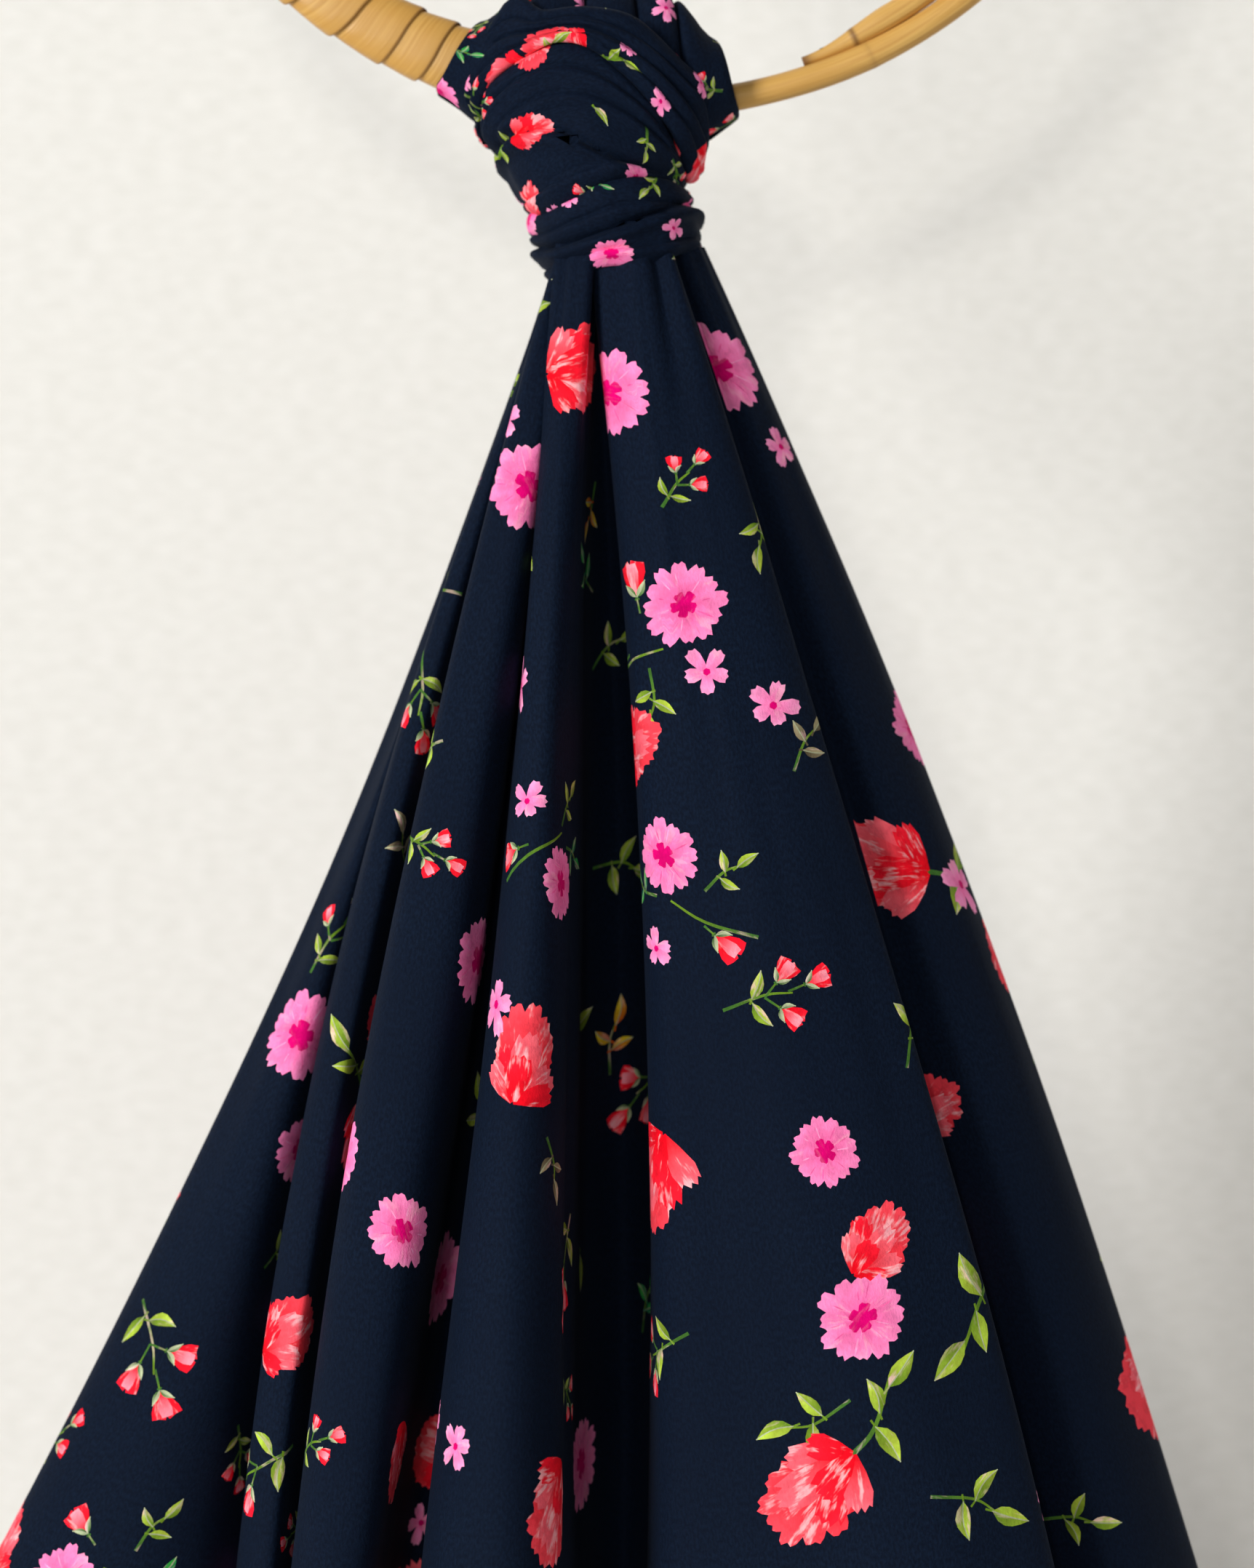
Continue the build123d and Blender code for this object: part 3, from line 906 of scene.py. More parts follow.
def fold_positions(drops):
    """(drop, fold, xy) of the fold lines: a curve through three levels, easing off below the last."""
    table = np.array(DRAPE_FOLDS, float)
    neck, middle, low = table[:, 0:2], table[:, 2:4], table[:, 4:6]
    reach = LOW_DROP - NECK_DROP
    past = np.maximum(drops - LOW_DROP, 0.0)
    t = ((np.minimum(drops, LOW_DROP) - NECK_DROP) / reach)[:, None, None]
    at = neck * (1 - t) * (1 - 2 * t) + middle * 4 * t * (1 - t) + low * t * (2 * t - 1)
    slope = (neck - 4 * middle + 3 * low) / reach
    return at + slope * (past - past**2 / (2 * FLARE_EASE))[:, None, None]


def drape_sheet():
    drops = np.arange(NECK_TOP_DROP, HEM_DROP + 0.5, 2.0)
    control = fold_positions(drops)
    low = control[np.searchsorted(drops, LOW_DROP)]
    chords = np.linalg.norm(np.diff(low, axis=0), axis=1)
    knots = np.concatenate([[0.0], np.cumsum(np.sqrt(chords))])
    samples = np.linspace(0.0, knots[-1], DRAPE_COLS)
    outline = np.einsum("cf,dfk->dck", spline_weights(knots, samples), control)
    raw = np.concatenate([outline, np.broadcast_to(-drops[:, None, None], (*outline.shape[:2], 1))], axis=2)
    steps = np.linalg.norm(np.diff(raw, axis=0), axis=2)
    length = np.concatenate([np.zeros((1, steps.shape[1])), np.cumsum(steps, axis=0)])
    cloth_length = float(length[-1].min())
    rows = np.arange(0.0, cloth_length, ROW_STEP)
    places = np.zeros((len(rows), DRAPE_COLS, 3))
    for col in range(DRAPE_COLS):
        for k in range(3):
            places[:, col, k] = np.interp(rows, length[:, col], raw[:, col, k])
    places[..., 2] += ROD_Z
    places = crumpled(places, rows)
    valleys = [i for i, fold in enumerate(DRAPE_FOLDS) if fold[6]]
    seams = [int(np.argmin(abs(samples - knots[i]))) for i in valleys]
    return Sheet("drape", places, seams, rows_every=9.0, cols_every=6.5, turn=15.0)


def crumpled(places, rows):
    """Small soft dents along the folds, and gathers that die away below the neck."""
    across = np.cumsum(np.linalg.norm(np.diff(places, axis=1, prepend=places[:, :1]), axis=2), axis=1)
    low_row = int(len(rows) * 0.6)
    flat = across[low_row][None, :]
    v = rows[:, None]
    normal = unit(np.cross(np.gradient(places, axis=0), np.gradient(places, axis=1)))
    dents = wave_noise(flat, v, 11, 70.0, 420.0) * 1.0 * smooth(v / 140.0)
    small = wave_noise(flat, v, 12, 26.0, 240.0) * 0.28 * smooth(v / 90.0)
    gathers = wave_noise(flat, v, 13, 34.0, 900.0) * 0.8 * np.exp(-(((v - 12.0) / 42.0) ** 2))
    return places + normal * (dents + small + gathers)[..., None]


HEM_WIDTH = 9.0
STITCH_LENGTH, STITCH_GAP, STITCH_RADIUS = 2.6, 0.9, 0.3


def stitch_line(name, sheet, material):
    """A row of short stitches along the lower hem, each a little thread that dips into the cloth."""
    row = int(np.argmin(abs(sheet.flat_v - (sheet.flat_v[-1] - HEM_WIDTH))))
    arc, normals = sheet.arc[row], sheet.normals[row]
    line = sheet.places[row] + normals * (CLOTH_THICKNESS / 2)
    sides = 6
    verts, faces = [], []
    for start in np.arange(2.0, arc[-1] - STITCH_LENGTH - 2.0, STITCH_LENGTH + STITCH_GAP):
        at = start + np.array([0.0, 0.2, 0.8, 1.0]) * STITCH_LENGTH
        middle = np.stack([np.interp(at, arc, line[:, k]) for k in range(3)], axis=1)
        out = unit(np.stack([np.interp(at, arc, normals[:, k]) for k in range(3)], axis=1))
        side = unit(np.cross(middle[-1] - middle[0], out))
        first = len(verts)
        for i, (width, lift) in enumerate(((0.5, -0.15), (1.0, 0.15), (1.0, 0.15), (0.5, -0.15))):
            for k in range(sides):
                spoke = 2 * math.pi * k / sides
                offset = (side[i] * math.cos(spoke) + out[i] * math.sin(spoke)) * STITCH_RADIUS * width
                verts.append(tuple((middle[i] + out[i] * lift + offset) * MM))
        faces += tube_faces(first, sides, 4) + end_faces(first, sides, 4)
    mesh = bpy.data.meshes.new(name)
    mesh.from_pydata(verts, [], faces)
    mesh.shade_smooth()
    mesh.materials.append(material)
    return placed_object(name, mesh)


# ---------------------------------------------------------------- where the print goes
SCATTER_TRIES = 5000
WIDE_SPACING, TAIL_SPACING, KNOT_SPACING = 21.0, 18.0, 12.0
# Each printed motif: how it is drawn, how often it is picked, and its smallest and largest size.
MOTIFS = (
    (peony, 5, 28, 38), (rosebud, 6, 18, 30), (daisy, 6, 19, 30), (posy, 3, 34, 46), (blossom, 7, 10, 17),
    (bud_spray, 6, 14, 26), (leaf_sprig, 5, 16, 25), (fresh_sprig, 2, 16, 22), (autumn_sprig, 1, 15, 20),
    (dried_sprig, 1, 14, 18), (single_leaf, 4, 10, 15),
)


def scatter(sheet, rng, spacing, scale=1.0):
    """Prints the whole sheet with motifs placed, picked and turned by seeded chance.

    Their middles keep apart by the spacing and a quarter of both sizes, so long ones may overlap.
    """
    odds = [often for _, often, _, _ in MOTIFS]
    taken = []
    for _ in range(SCATTER_TRIES):
        row, col = rng.randrange(len(sheet.places)), rng.randrange(sheet.places.shape[1])
        draw, _, least, most = rng.choices(MOTIFS, odds)[0]
        size = rng.uniform(least, most) * scale
        at = np.array([sheet.arc[row, col], sheet.flat_v[row]])
        if any(np.linalg.norm(at - other) < spacing + (size + wide) / 4 for other, wide in taken):
            continue
        taken.append((at, size))
        sheet.lay(draw(rng, size), row, col, rng.uniform(0, 2 * math.pi))


# ---------------------------------------------------------------- knot
# Outline of the knot: drop, left x, right x, half depth.
KNOT_OUTLINE = (
    (-24, -36, 17, 20.5), (-10, -40, 20, 23), (0, -43, 21.2, 25), (6, -42.6, 20.6, 25.5),
    (12, -40.4, 18.8, 25.5), (20, -34.4, 15.8, 24.5), (29, -30, 14.6, 23),
    (36, -27, 16.6, 21.5), (45, -23.6, 17.6, 20.5),
    (54, -20.3, 17.6, 19), (62, -19, 17, 18),
)
KNOT_PADDING = 3.2
KNOT_REACH = 32.0
FULL_TURN_WIDTH = 11.0
# Edges and soft creases of the turns: (x, drop) along the front, then (degrees, drop) round the back.
TURN_EDGES = {
    "top": (
        ((-44, 8), (-39.8, -11.8), (-23.2, -18.2), (-10.4, -18.8), (2.4, -15.8), (15.2, -4.8), (21.6, 2.8),
         (23.6, 11.8)),
        ((100, 17), (122, 6), (150, -12), (180, -17), (210, -12), (238, 4), (255, 9)),
    ),
    "shoulder": (
        ((-44, 13), (-39, -0.4), (-29.6, -6.2), (-20.6, -9.6), (-10.4, -7.4), (-0.8, -0.4), (8.8, 9.2),
         (15.2, 19.4), (18.2, 26)),
        ((110, 22), (150, 4), (180, -2), (210, 2), (245, 15)),
    ),
    "fold": (
        ((-40, 19), (-29.6, 14.2), (-20, 15), (-7.2, 20.6), (5.6, 24.2), (17.5, 27.6)),
        ((120, 26), (180, 14), (240, 20)),
    ),
    "waist": (
        ((-32, 35), (-27.6, 36), (-16.8, 32.8), (-4, 27.8), (12, 27), (17.8, 29.2)),
        ((115, 32), (180, 32), (245, 36)),
    ),
    "crease": (
        ((-27, 44), (-25, 45), (-5.4, 41), (12, 34.6), (19.6, 32.6)),
        ((120, 36), (180, 42), (240, 44)),
    ),
    "lower": (
        ((-22, 54), (-21.2, 54), (-7.2, 50.5), (5.6, 50), (18.4, 46)),
        ((115, 46), (180, 52), (245, 54)),
    ),
}


def knot_outline(drop):
    """Middle x, half width and half depth of the knot at a drop."""
    table = np.array(KNOT_OUTLINE, float)
    left, right, depth = (np.interp(drop, table[:, 0], table[:, k]) for k in (1, 2, 3))
    return (left + right) / 2, (right - left) / 2, depth


def turn_edge(name, degrees):
    """Drop of a turn's edge all round the knot; 0 degrees is the front and 90 the right."""
    front, back = TURN_EDGES[name]
    known = []
    for x, drop in front:
        middle, half, _ = knot_outline(drop)
        share = np.clip((x - middle) / (half + KNOT_PADDING), -0.99, 0.99)
        known.append((math.degrees(math.asin(share)), drop))
    known += list(back)
    known = sorted((angle % 360, drop) for angle, drop in known)
    angles = np.array([a for a, _ in known])
    drops = np.array([d for _, d in known])
    around = np.concatenate([angles[-2:] - 360, angles, angles[:2] + 360])
    held = np.concatenate([drops[-2:], drops, drops[:2]])
    return spline_weights(around, degrees % 360) @ held


# Cut across a turn: share of its width, inset from that edge in mm, and how far out it lies.
TURN_SECTION = (
    (0, 4.0, -3.6), (0, 1.2, -2.6), (0, 0.0, -0.9), (0, 0.9, 0.7), (0, 3.0, 1.5), (0.3, 0, 1.7),
    (0.5, 0, 1.7), (0.7, 0, 1.7), (1, -3.0, 1.5), (1, -0.9, 0.7), (1, 0.0, -0.9),
    (1, -1.2, -2.6), (1, -4.0, -3.6),
)


def turn_sheet(name, upper, lower, lift, creases, seed):
    """One turn of cloth round the knot, rolled in along both edges, with soft creases along it."""
    degrees = np.linspace(180.0, -180.0, 361)
    top, bottom = turn_edge(upper, degrees), turn_edge(lower, degrees)
    width = bottom - top
    share, inset, out = (np.array(column, float) for column in zip(*TURN_SECTION))
    last = len(TURN_SECTION) - 1
    weights = spline_weights(np.arange(last + 1.0), np.linspace(0, last, 145))
    size = np.clip(width / FULL_TURN_WIDTH, 0.15, 1.0)[:, None]
    drop = (top[:, None] + width[:, None] * share + inset * size) @ weights.T
    bulge = (out * size) @ weights.T + lift
    for crease, depth, spread in creases:
        line = turn_edge(crease, degrees) if isinstance(crease, str) else top + width * crease
        away = drop - line[:, None]
        fade = np.clip((np.minimum(abs(drop - top[:, None]), abs(bottom[:, None] - drop))) / 4.0, 0, 1)
        bulge -= depth * fade * np.exp(-((away / spread) ** 2))
        bulge += depth * 0.7 * fade * np.exp(-(((away - 2.1 * spread) / (1.6 * spread)) ** 2))
    phi = np.radians(degrees)[:, None]
    reach = KNOT_REACH * phi
    bulge += wave_noise(reach, drop, seed, 60.0, 13.0) * 0.42 * size
    bulge += wave_noise(reach, drop, seed + 1, 22.0, 30.0) * 0.22
    middle, half, depth = knot_outline(drop)
    x, y = half * np.sin(phi), -depth * np.cos(phi)
    outward = unit(np.stack([x / half**2, y / depth**2], axis=-1))
    x, y = middle + x + outward[..., 0] * bulge, y + outward[..., 1] * bulge
    places = np.stack([x, y, ROD_Z - drop], axis=-1)
    return Sheet(name, places, rows_every=3.0, cols_every=2.4, turn=16.0)


# ---------------------------------------------------------------- loop over the rods
# Pleats of the cloth over the rods: x over the top of the rods, x down the front and back, and how far
# the cloth stands out there.
LOOP_PLEATS = (
    (-39, -53, -2.2), (-38.5, -52.5, -1.0), (-36, -49, 0), (-31, -43, 1.3), (-27, -35, -1), (-26, -33, -3.5),
    (-24, -31, 0), (-18.5, -23, 1.8), (-13.5, -15, 0.5), (-12.5, -13, -3.5), (-11, -12, 0), (-6, -4, 2.0),
    (-1, 3, 0.5), (0, 5, -3.5), (1.5, 6.5, 0), (6, 11, 1.8), (10, 15, 0), (11, 16, -3.5),
    (12.5, 17.5, 0.5), (16, 22, 1.8), (20, 27.5, 0.5), (21.5, 29, -1.0), (22, 29.5, -2.2),
)


def hoop_rise(x):
    """Height of the hoop's rods above their lowest point."""
    return PAIR_RING - np.sqrt(PAIR_RING**2 - x**2)


# How far the cloth lies from the middle of the rods: at its edges, then on top, in front and below.
LOOP_EDGE, LOOP_TOP, LOOP_FRONT, LOOP_BOTTOM = 12.3, 26.5, 16.5, 16.0


def loop_sheet():
    """The pleated cloth round the rods: rows run from inside the knot over the rods and down the back."""
    around = np.radians(np.linspace(-168, 168, 150))[:, None]
    over, side, lift = (np.array(column, float) for column in zip(*LOOP_PLEATS))
    steps = np.sqrt(np.abs(np.diff(side)) + 1.2 * np.abs(np.diff(lift)))
    knots = np.concatenate([[0.0], np.cumsum(steps)])
    weights = spline_weights(knots, np.linspace(0, knots[-1], 420))
    spread = np.clip(np.abs(around) / math.radians(150), 0, 1) ** 0.9
    x = (over * (1 - spread) + side * spread) @ weights.T
    raised = np.broadcast_to(lift @ weights.T, x.shape)
    left, right = x[:, :1], x[:, -1:]
    full = smooth((x - left) / 17.0) * smooth((right - x) / 15.0)
    top, front, bottom = (LOOP_EDGE + (far - LOOP_EDGE) * full for far in (LOOP_TOP, LOOP_FRONT, LOOP_BOTTOM))
    height = np.where(np.cos(around) > 0, top, bottom)
    bump_out = raised * (0.45 + 0.55 * full)
    y = -(front + bump_out) * np.sin(around)
    z = ROD_Z + hoop_rise(np.clip(x, -60, 60)) + (height + bump_out) * np.cos(around)
    places = np.stack([x, y, z], axis=-1)
    outward = unit(np.stack([0 * x, y, z - ROD_Z], axis=-1))
    places += outward * wave_noise(x, 20 * around, 31, 18.0, 70.0)[..., None] * 0.4
    return Sheet("loop_over_rods", places, rows_every=3.0, cols_every=3.0, turn=18.0)


# ---------------------------------------------------------------- short end behind the drape
TAIL_FOLDS = (
    (-15, 3, -46, 2), (-13.5, 0, -42, -2), (-11, -2.5, -34, -4), (-8.5, 1, -26, 0), (-9.5, 3, -25, 4),
    (-6, 2.5, -17, 4), (-3, -1.5, -8, -3), (1, -2.5, 1, -4), (3.5, 1, 9, 0), (2.5, 3, 8, 4),
    (6, 2.5, 17, 4), (9, -1.5, 27, -3),
    (12, -2, 36, -4), (15, 1, 45, 1),
)


def tail_sheet():
    low_x, high_x = box_mm("cloth_tail")
    middle = (low_x[0] + high_x[0]) / 2
    drops = np.arange(36.0, ROD_Z - low_x[2], 2.0)
    table = np.array(TAIL_FOLDS, float)
    share = smooth((drops - 40) / (drops[-1] - 40) * 0.5)[:, None, None] * 2
    control = table[:, 0:2] * (1 - share) + table[:, 2:4] * share
    chords = np.linalg.norm(np.diff(control[-1], axis=0), axis=1)
    knots = np.concatenate([[0.0], np.cumsum(np.sqrt(chords))])
    line = np.einsum("cf,dfk->dck", spline_weights(knots, np.linspace(0, knots[-1], 260)), control)
    lean = np.interp(drops, (36, 48, 62, drops[-1]), (20, 26, 32, 53))[:, None]
    x = middle - line[..., 0]
    y = lean + line[..., 1] * np.interp(drops, (36, 60), (0.6, 1.0))[:, None]
    places = np.stack([x, y, np.broadcast_to(ROD_Z - drops[:, None], x.shape)], axis=-1)
    return Sheet("short_end", places, rows_every=6.0, cols_every=4.0, turn=16.0)


# ---------------------------------------------------------------- hoop
BINDING_LOW, BINDING_HIGH = box_mm("cane_binding")
CANE_THICKNESS = 0.55
BINDING_FROM, BINDING_TO = -9.0, -82.0


def binding_piece(material):
    """A flat strip of cane wound round both rods, each turn lapped over the one before."""
    half_depth = (BINDING_HIGH[1] - BINDING_LOW[1]) / 2 - CANE_THICKNESS
    outer = OUTER_RING + OUTER_TUBE + 0.2
    inner = INNER_RING - INNER_TUBE + 0.4
    rng = random.Random(5)
    arc_length = math.radians(BINDING_FROM - BINDING_TO) * PAIR_RING
    marks = [0.0]
    while marks[-1] < arc_length - 15.0:
        marks.append(marks[-1] + rng.choice((9.5, 11.0, 12.5, 14.0)) + rng.uniform(-0.8, 0.8))
    per_turn, rims = 56, (0.0, 0.04, 0.35, 0.7, 0.96, 1.0)
    psi = np.arange((len(marks) - 1) * per_turn + 1) / per_turn
    start = np.interp(psi, np.arange(len(marks)), marks)
    width = np.interp(psi, np.arange(len(marks)), [rng.uniform(13.4, 15.4) for _ in marks])
    turn = 2 * math.pi * psi
    power = 2 / 2.7
    radial = np.sign(np.cos(turn)) * np.abs(np.cos(turn)) ** power
    depth = np.sign(np.sin(turn)) * np.abs(np.sin(turn)) ** power
    rows = []
    for layer in (1.0, 0.0):
        for share in rims:
            lift = 0.25 + 1.15 * share + CANE_THICKNESS * layer
            if share in (0.0, 1.0):
                lift = 0.25 + 1.15 * share + CANE_THICKNESS * (0.5 + 0.25 * (layer - 0.5))
            angle = -(start + width * (1 - share)) / PAIR_RING + math.radians(BINDING_FROM)
            middle, half = (outer + inner) / 2, (outer - inner) / 2
            distance = middle + (half + lift) * radial
            x, z = distance * np.sin(angle), HOOP_Z - distance * np.cos(angle)
            rows.append(np.stack([x, (half_depth - 0.9 + lift) * depth, z], axis=-1))
    loop = rows[: len(rims)] + rows[len(rims):][::-1]
    verts = np.stack(loop, axis=1).reshape(-1, 3) * MM
    count = len(loop)
    faces = tube_faces(0, count, len(psi)) + end_faces(0, count, len(psi))
    mesh = bpy.data.meshes.new("wound_cane")
    mesh.from_pydata(verts.tolist(), [], faces)
    mesh.validate()
    grain = mesh.attributes.new("grain", "FLOAT_VECTOR", "POINT")
    across = np.tile(np.concatenate([rims, rims[::-1]]), len(psi)) * 14.0
    along = np.repeat(psi * 55.0, count)
    layer = np.repeat(np.floor(psi + 0.5), count)
    grain.data.foreach_set("vector", np.stack([across, along, layer], axis=1).astype(np.float32).ravel())
    mesh.shade_smooth()
    mesh.set_sharp_from_angle(angle=math.radians(40))
    mesh.materials.append(material)
    return placed_object("wound_cane", mesh)


def out_of_round(degrees):
    """How far the hoop bulges outward of a true circle, right of the knot."""
    return 2.2 * np.exp(-(((degrees - 33.0) / 21.0) ** 2))


GRAIN_RADIUS = 3.6


def rod_piece(name, angles, middle, radius, shift, material):
    """A peeled rod bent along the hoop. angles are degrees round from the lowest point to the right."""
    rng = random.Random(len(name))
    turn = np.radians(angles)
    along = turn * middle
    wobble = 1 + 0.025 * wave_noise(along, 0 * along, rng.randrange(99), 60.0, 1.0)
    joints = np.zeros(len(angles))
    for at in (-140, -97, 27.5, 63, 101, 149):
        joints = np.maximum(joints, np.exp(-(((angles - at - rng.uniform(-3, 3)) * 2.5 / 1.1) ** 2)))
    thick = radius * wobble * (1 + 0.05 * joints)
    around = np.linspace(0, 2 * math.pi, 25)[:-1]
    grid = []
    waves = wave_noise(along, 0 * along, rng.randrange(99), 110.0, 1.0)
    for t, m, r, wave in zip(turn, middle + out_of_round(angles), thick, waves):
        reach = m + 0.35 * wave + r * np.cos(around)
        x, z = shift + reach * math.sin(t), HOOP_Z + shift - reach * math.cos(t)
        grid.append(np.stack([x, r * np.sin(around) + 0.3 * wave, z], axis=-1))
    verts = np.array(grid).reshape(-1, 3) * MM
    count, rows = len(around), len(angles)
    closed = abs(angles[-1] - angles[0]) > 359
    faces = []
    for i in range(rows - 1):
        low, high = i * count, (0 if closed and i == rows - 2 else i + 1) * count
        faces += [(low + j, low + (j + 1) % count, high + (j + 1) % count, high + j) for j in range(count)]
    if not closed:
        faces += [tuple(range(count))[::-1], tuple(range((rows - 1) * count, rows * count))]
    mesh = bpy.data.meshes.new(name)
    mesh.from_pydata(verts.tolist(), [], faces)
    spread = np.tile(np.stack([np.cos(around), np.sin(around)], axis=1) * GRAIN_RADIUS, (rows, 1))
    grain = np.column_stack([np.repeat(along, count), spread])
    fibres = mesh.attributes.new("grain", "FLOAT_VECTOR", "POINT")
    fibres.data.foreach_set("vector", grain.astype(np.float32).ravel())
    cut = np.exp(-((np.minimum(angles - angles[0], 1e3)) / 1.2)) if not closed else 0 * joints
    dark = np.repeat(np.maximum(joints * 0.8, cut), count).astype(np.float32)
    mesh.attributes.new("dark", "FLOAT", "POINT").data.foreach_set("value", dark)
    mesh.shade_smooth()
    mesh.set_sharp_from_angle(angle=math.radians(50))
    mesh.materials.append(material)
    return placed_object(name, mesh)


# The inner rod's tip, in degrees round from the lowest point to the right, and how far it tapers.
TIP_AT, TAPER, TIP_SHARE = 19.5, 11.0, 0.38
BRADS_AT = (21.5, 24.5, 27.5)


def tapered(degrees):
    """Radius of the inner rod, thinned toward its tip."""
    return INNER_TUBE * (TIP_SHARE + (1 - TIP_SHARE) * smooth((degrees - TIP_AT) / TAPER))


def hoop_rods(material):
    """The full outer rod, and the inner rod whose tapered tip is nailed down just right of the knot."""
    full = np.linspace(-180, 180, 361)
    outer = rod_piece("outer_rod", full, np.full(361, OUTER_RING), OUTER_TUBE, 0.0, material)
    shift = (INNER_LOW[0] + INNER_HIGH[0]) / 2
    angles = np.concatenate([np.linspace(TIP_AT, 30, 30)[:-1], np.linspace(30, 352.5, 320)])
    radius = tapered(angles)
    slip = shift * math.sqrt(2) * np.cos(np.radians(angles + 45))
    nailed = OUTER_RING - OUTER_TUBE - radius * 0.93 + slip
    middle = nailed + (INNER_RING - nailed) * smooth((angles - 26) / 34.0)
    inner = rod_piece("inner_rod", angles, middle, radius, shift, material)
    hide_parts("rod_outer")
    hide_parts("rod_inner")
    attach(outer, "hoop")
    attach(inner, "hoop")


def rattan_material():
    """Peeled golden rod: long fibres, faint joints, and a darker cut end."""
    material, tree, shader = new_material("peeled_rattan")
    grain = attribute(tree, "grain").outputs["Vector"]
    fibre = noise(tree, stretched(tree, grain, (0.03, 1.3, 1.3)), 1.0, 3.0, 0.6)
    patch = noise(tree, stretched(tree, grain, (0.03, 0.1, 0.1)), 1.0, 2.0)
    colour = mix_colour(tree, remap(tree, fibre, 0.3, 0.75), rgb(198, 148, 74), rgb(222, 178, 100))
    colour = mix_colour(tree, remap(tree, patch, 0.35, 0.7, 0.0, 0.7), colour, rgb(202, 154, 78))
    specks = noise(tree, stretched(tree, grain, (0.12, 0.5, 0.5)), 1.0, 1.0)
    colour = mix_colour(tree, remap(tree, specks, 0.72, 0.80, 0.0, 0.5), colour, rgb(132, 82, 40))
    dark = attribute(tree, "dark").outputs["Fac"]
    colour = mix_colour(tree, remap(tree, dark, 0.15, 0.9, 0.0, 0.8), colour, rgb(96, 54, 26))
    set_surface(tree, shader, colour, Roughness=0.42, Specular_IOR_Level=0.4)
    tree.links.new(bump(tree, fibre, 0.0002, 0.6), shader.inputs["Normal"])
    return material


def cane_material():
    """Split cane: fine straight fibres along the strip and darker edges."""
    material, tree, shader = new_material("split_cane")
    grain = attribute(tree, "grain").outputs["Vector"]
    fibre = noise(tree, stretched(tree, grain, (1.5, 0.03, 3.7)), 1.0, 3.0, 0.6)
    patch = noise(tree, stretched(tree, grain, (0.1, 0.04, 1.9)), 1.0, 2.0)
    colour = mix_colour(tree, remap(tree, fibre, 0.35, 0.7), rgb(196, 146, 70), rgb(214, 168, 92))
    colour = mix_colour(tree, remap(tree, patch, 0.4, 0.7, 0.0, 0.8), colour, rgb(200, 150, 72))
    parts = add(tree, "ShaderNodeSeparateXYZ")
    tree.links.new(grain, parts.inputs[0])
    edge = math_node(tree, "ABSOLUTE", math_node(tree, "SUBTRACT", parts.outputs["X"], 7.0), 0)
    colour = mix_colour(tree, remap(tree, edge, 6.3, 7.0, 0.0, 0.75), colour, rgb(120, 72, 30))
    set_surface(tree, shader, colour, Roughness=0.38)
    tree.links.new(bump(tree, fibre, 0.0002, 0.5), shader.inputs["Normal"])
    return material


def brad_material():
    material, tree, shader = new_material("brad_steel")
    shade = noise(tree, add(tree, "ShaderNodeTexCoord").outputs["Object"], 900.0, 2.0)
    set_surface(
        tree, shader, mix_colour(tree, shade, rgb(70, 60, 52), rgb(120, 108, 96)),
        Metallic=0.9, Roughness=0.45,
    )
    return material


def brads_piece(material):
    """Three headed brads driven from the inner rod's tip into the outer rod."""
    profile = ((0.0, 0.0), (0.0, 0.55), (0.15, 0.8), (0.4, 0.8), (0.5, 0.45), (6.0, 0.45), (6.8, 0.0))
    sides = 12
    verts, faces = [], []
    for degrees in BRADS_AT:
        turn = math.radians(degrees)
        outward = np.array([math.sin(turn), 0, -math.cos(turn)])
        aside = np.array([math.cos(turn), 0, math.sin(turn)])
        radius = tapered(degrees)
        head = OUTER_RING - OUTER_TUBE - 1.93 * radius - 0.15 + out_of_round(degrees)
        start = len(verts)
        for depth, width in profile:
            for k in range(sides):
                spoke = 2 * math.pi * k / sides
                offset = aside * width * math.cos(spoke) + np.array([0, width * math.sin(spoke), 0])
                verts.append(tuple((outward * (head + depth) + offset + [0, 0, HOOP_Z]) * MM))
        faces += tube_faces(start, sides, len(profile))
    mesh = bpy.data.meshes.new("brads")
    mesh.from_pydata(verts, [], faces)
    mesh.validate()
    mesh.materials.append(material)
    return placed_object("brads", mesh)


# ---------------------------------------------------------------- stage, light and camera
def wall_material(name, scale):
    """Matt warm white paint over a faint woven relief, seen from the front only."""
    material, tree, shader = new_material(name)
    place = add(tree, "ShaderNodeTexCoord").outputs["Object"]
    weave = noise(tree, stretched(tree, place, (scale * 0.45, scale, scale * 1.5)), 1.0, 1.0)
    colour = mix_colour(tree, remap(tree, weave, 0.35, 0.65), rgb(235, 234, 229), rgb(242, 241, 237))
    set_surface(tree, shader, colour, Roughness=0.85)
    tree.links.new(bump(tree, weave, 0.0005, 0.35), shader.inputs["Normal"])
    back = add(tree, "ShaderNodeNewGeometry").outputs["Backfacing"]
    see_through = add(tree, "ShaderNodeBsdfTransparent")
    mixed = add(tree, "ShaderNodeMixShader")
    tree.links.new(back, mixed.inputs[0])
    tree.links.new(shader.outputs[0], mixed.inputs[1])
    tree.links.new(see_through.outputs[0], mixed.inputs[2])
    tree.links.new(mixed.outputs[0], tree.nodes["Material Output"].inputs["Surface"])
    return material


def plane(name, corners, material):
    mesh = bpy.data.meshes.new(name)
    mesh.from_pydata(corners, [], [(0, 1, 2, 3)])
    mesh.materials.append(material)
    return placed_object(name, mesh)


def area_light(name, place, target, size, watts, colour):
    light = bpy.data.lights.new(name, "AREA")
    light.shape = "DISK"
    light.size, light.energy, light.color = size, watts, colour
    piece = placed_object(name, light)
    piece.location = place
    piece.rotation_euler = (Vector(target) - Vector(place)).to_track_quat("-Z", "Y").to_euler()
    return piece


WALL_Y, FLOOR_Z, LIT_Z = 0.30, -0.98, -0.47


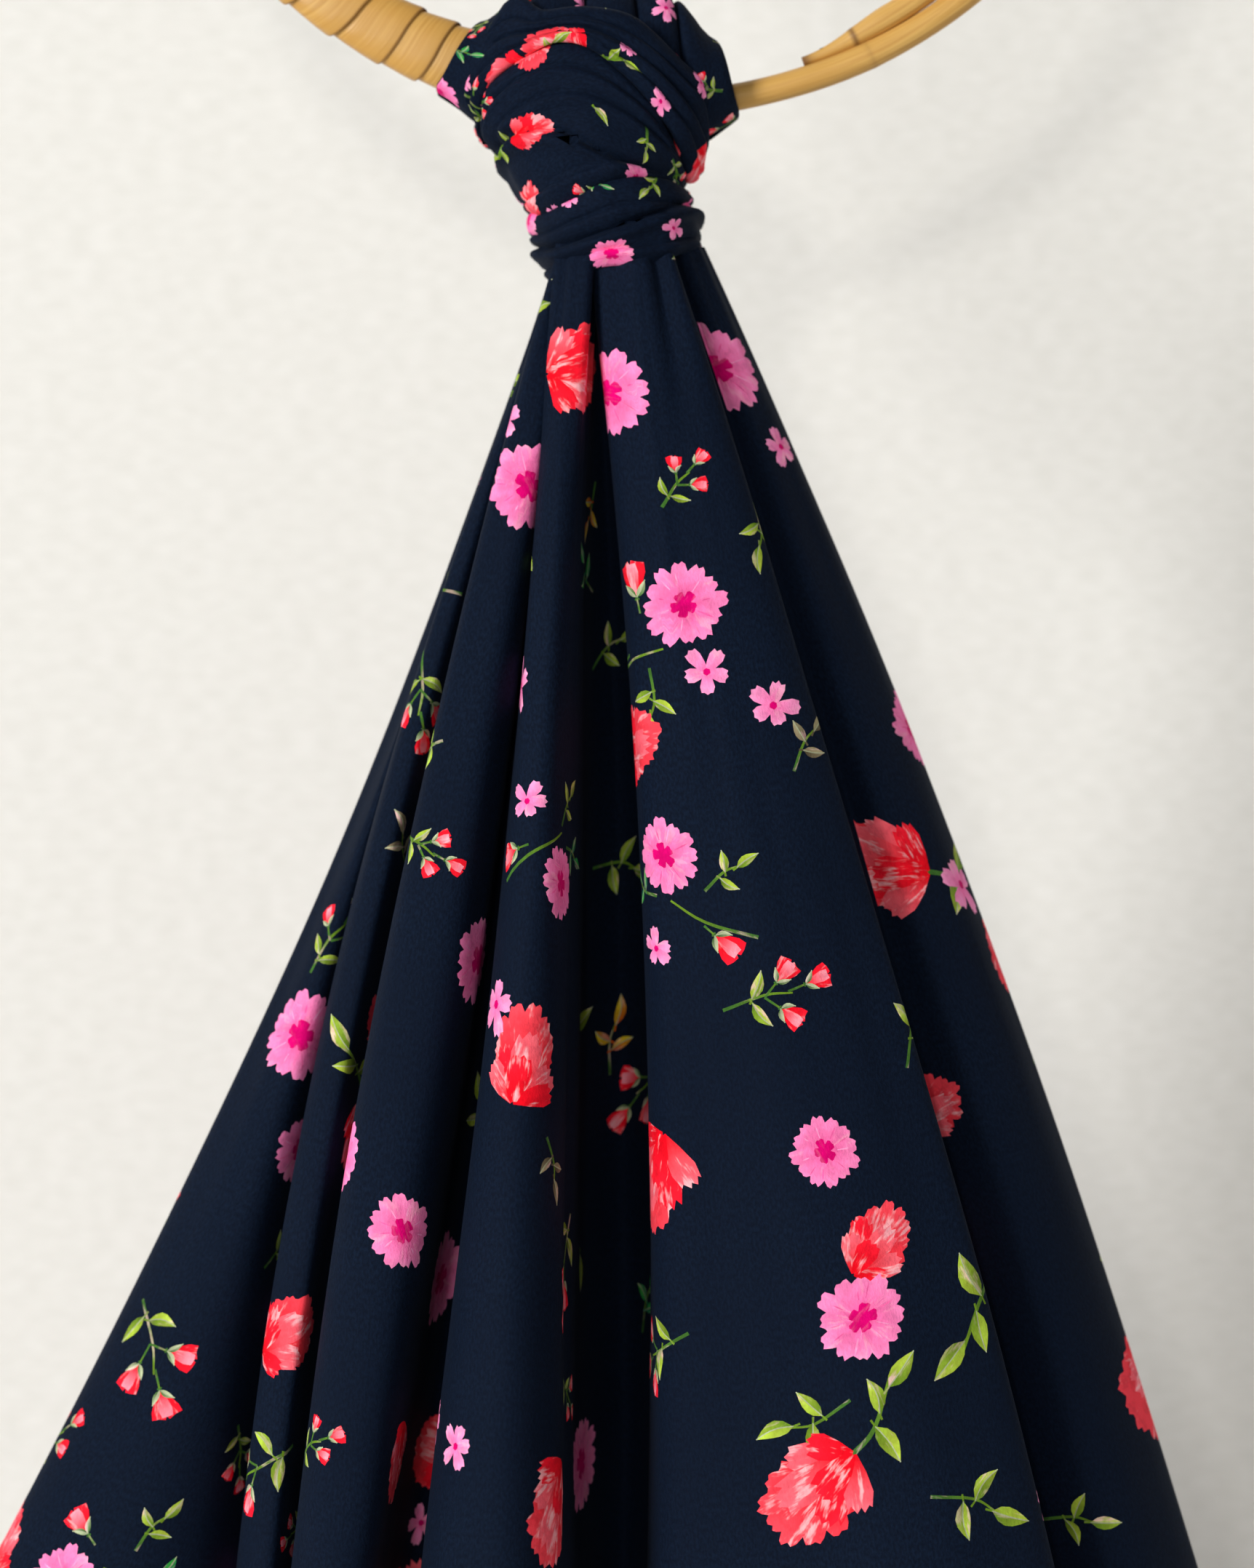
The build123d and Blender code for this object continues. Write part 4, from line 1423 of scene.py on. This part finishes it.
def build_stage():
    wall = plane("wall", [(-4, WALL_Y, FLOOR_Z), (4, WALL_Y, FLOOR_Z), (4, WALL_Y, 3), (-4, WALL_Y, 3)],
                 wall_material("wall_paint", 300.0))
    floor = plane("floor", [(-4, -4, FLOOR_Z), (4, -4, FLOOR_Z), (4, 4, FLOOR_Z), (-4, 4, FLOOR_Z)],
                  wall_material("floor_paint", 200.0))
    middle = (0.0, 0.0, LIT_Z)
    lights = [
        area_light("window", (-9.0, -9.4, 2.6), middle, 4.8, 1580.0, (1.0, 0.99, 0.97)),
        area_light("lamp", (-0.30, -2.7, -0.10), middle, 0.16, 9.0, (1.0, 0.97, 0.92)),
        area_light("room", (3.8, -3.2, 0.4), middle, 3.0, 9.0, (0.95, 0.97, 1.0)),
        area_light("behind", (0.9, 2.1, 0.6), middle, 1.6, 46.0, (1.0, 1.0, 1.0)),
    ]


def build_world():
    """Faint light from all round; the camera itself sees it as a pale backdrop."""
    world = bpy.data.worlds.new("daylight")
    world.use_nodes = True
    tree = world.node_tree
    background = tree.nodes["Background"]
    background.inputs["Color"].default_value = (0.97, 0.98, 1.0, 1.0)
    seen = add(tree, "ShaderNodeLightPath").outputs["Is Camera Ray"]
    tree.links.new(remap(tree, seen, 0.0, 1.0, 0.15, 0.78), background.inputs["Strength"])
    bpy.context.scene.world = world


CAMERA_AT, FOCUS_AT, LENS = (-0.001, -1.5, -0.471), (0.0, -0.05, -0.45), 125.2


def build_camera():
    camera = bpy.data.cameras.new("camera")
    camera.lens = LENS
    piece = placed_object("camera", camera)
    piece.location = CAMERA_AT
    piece.rotation_euler = (math.pi / 2, 0, 0)
    bpy.context.scene.camera = piece
    focus = placed_object("focus", None)
    focus.location = FOCUS_AT
    camera.dof.use_dof = True
    camera.dof.focus_object = focus
    camera.dof.aperture_fstop = 6.3
    bpy.context.scene.view_settings.view_transform = "Standard"


# ---------------------------------------------------------------- everything together
DRAPE_PIECES = ("drape_upper_cloth", "drape_middle_cloth", "drape_lower_cloth")
SECTION_LENGTHS = (120.0, 385.0)


cloth = cloth_material()
drape = drape_sheet()
shoulder = turn_sheet("upper_roll", "top", "shoulder", 2.2,
                      ((0.3, 1.0, 0.7), (0.55, 1.5, 0.9), (0.8, 1.0, 0.7)), 21)
main = turn_sheet("main_turn", "shoulder", "waist", 0.0,
                  (("fold", 2.6, 1.1), (0.16, 1.3, 0.8), (0.34, 1.1, 0.9), (0.86, 1.3, 0.8)), 23)
waist = turn_sheet("waist_turn", "waist", "lower", 0.4,
                   (("crease", 2.6, 1.0), (0.3, 1.1, 0.7), (0.8, 1.4, 0.8)), 25)
loop = loop_sheet()
tail = tail_sheet()

rng = random.Random(17)
scatter(drape, rng, WIDE_SPACING)
scatter(tail, rng, TAIL_SPACING, 0.8)
for sheet in (shoulder, main, waist, loop):
    scatter(sheet, rng, KNOT_SPACING, 0.5)

drape.cut_rows = [int(np.argmin(abs(drape.flat_v - length))) for length in SECTION_LENGTHS]
drape_print = cut_sheet(drape)
ends = [0, *drape.cut_rows, len(drape.places) - 1]
upper, middle, lower = [
    build_cloth(name, drape, drape_print, cloth, rows)
    for name, rows in zip(DRAPE_PIECES, zip(ends, ends[1:]))
]
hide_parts("cloth_neck", "drape_upper")
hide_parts("drape_lower")
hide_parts("drape_lower")

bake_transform(upper)
for piece in (middle, lower):
    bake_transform(piece)

turns = [build_cloth(sheet.name, sheet, cut_sheet(sheet), cloth) for sheet in (shoulder, main, waist)]
for piece, node in zip(turns, ("knot_core", "knot_turn_upper", "knot_turn_lower")):
    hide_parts(node)
    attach(piece, "knot")
loop_piece = build_cloth(loop.name, loop, cut_sheet(loop), cloth)
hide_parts("cloth_loop")
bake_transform(loop_piece)
tail_piece = build_cloth(tail.name, tail, cut_sheet(tail), cloth)
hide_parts("cloth_tail")
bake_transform(tail_piece)
thread = thread_material()
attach(stitch_line("hem_thread", drape, thread), "drape_bottom")
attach(stitch_line("short_end_thread", tail, thread), "tail")

wound = binding_piece(cane_material())
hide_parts("cane_binding")
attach(wound, "hoop")
rattan = rattan_material()
hoop_rods(rattan)
brads = brads_piece(brad_material())
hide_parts("splice_brads")
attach(brads, "hoop")

build_stage()
build_world()
build_camera()
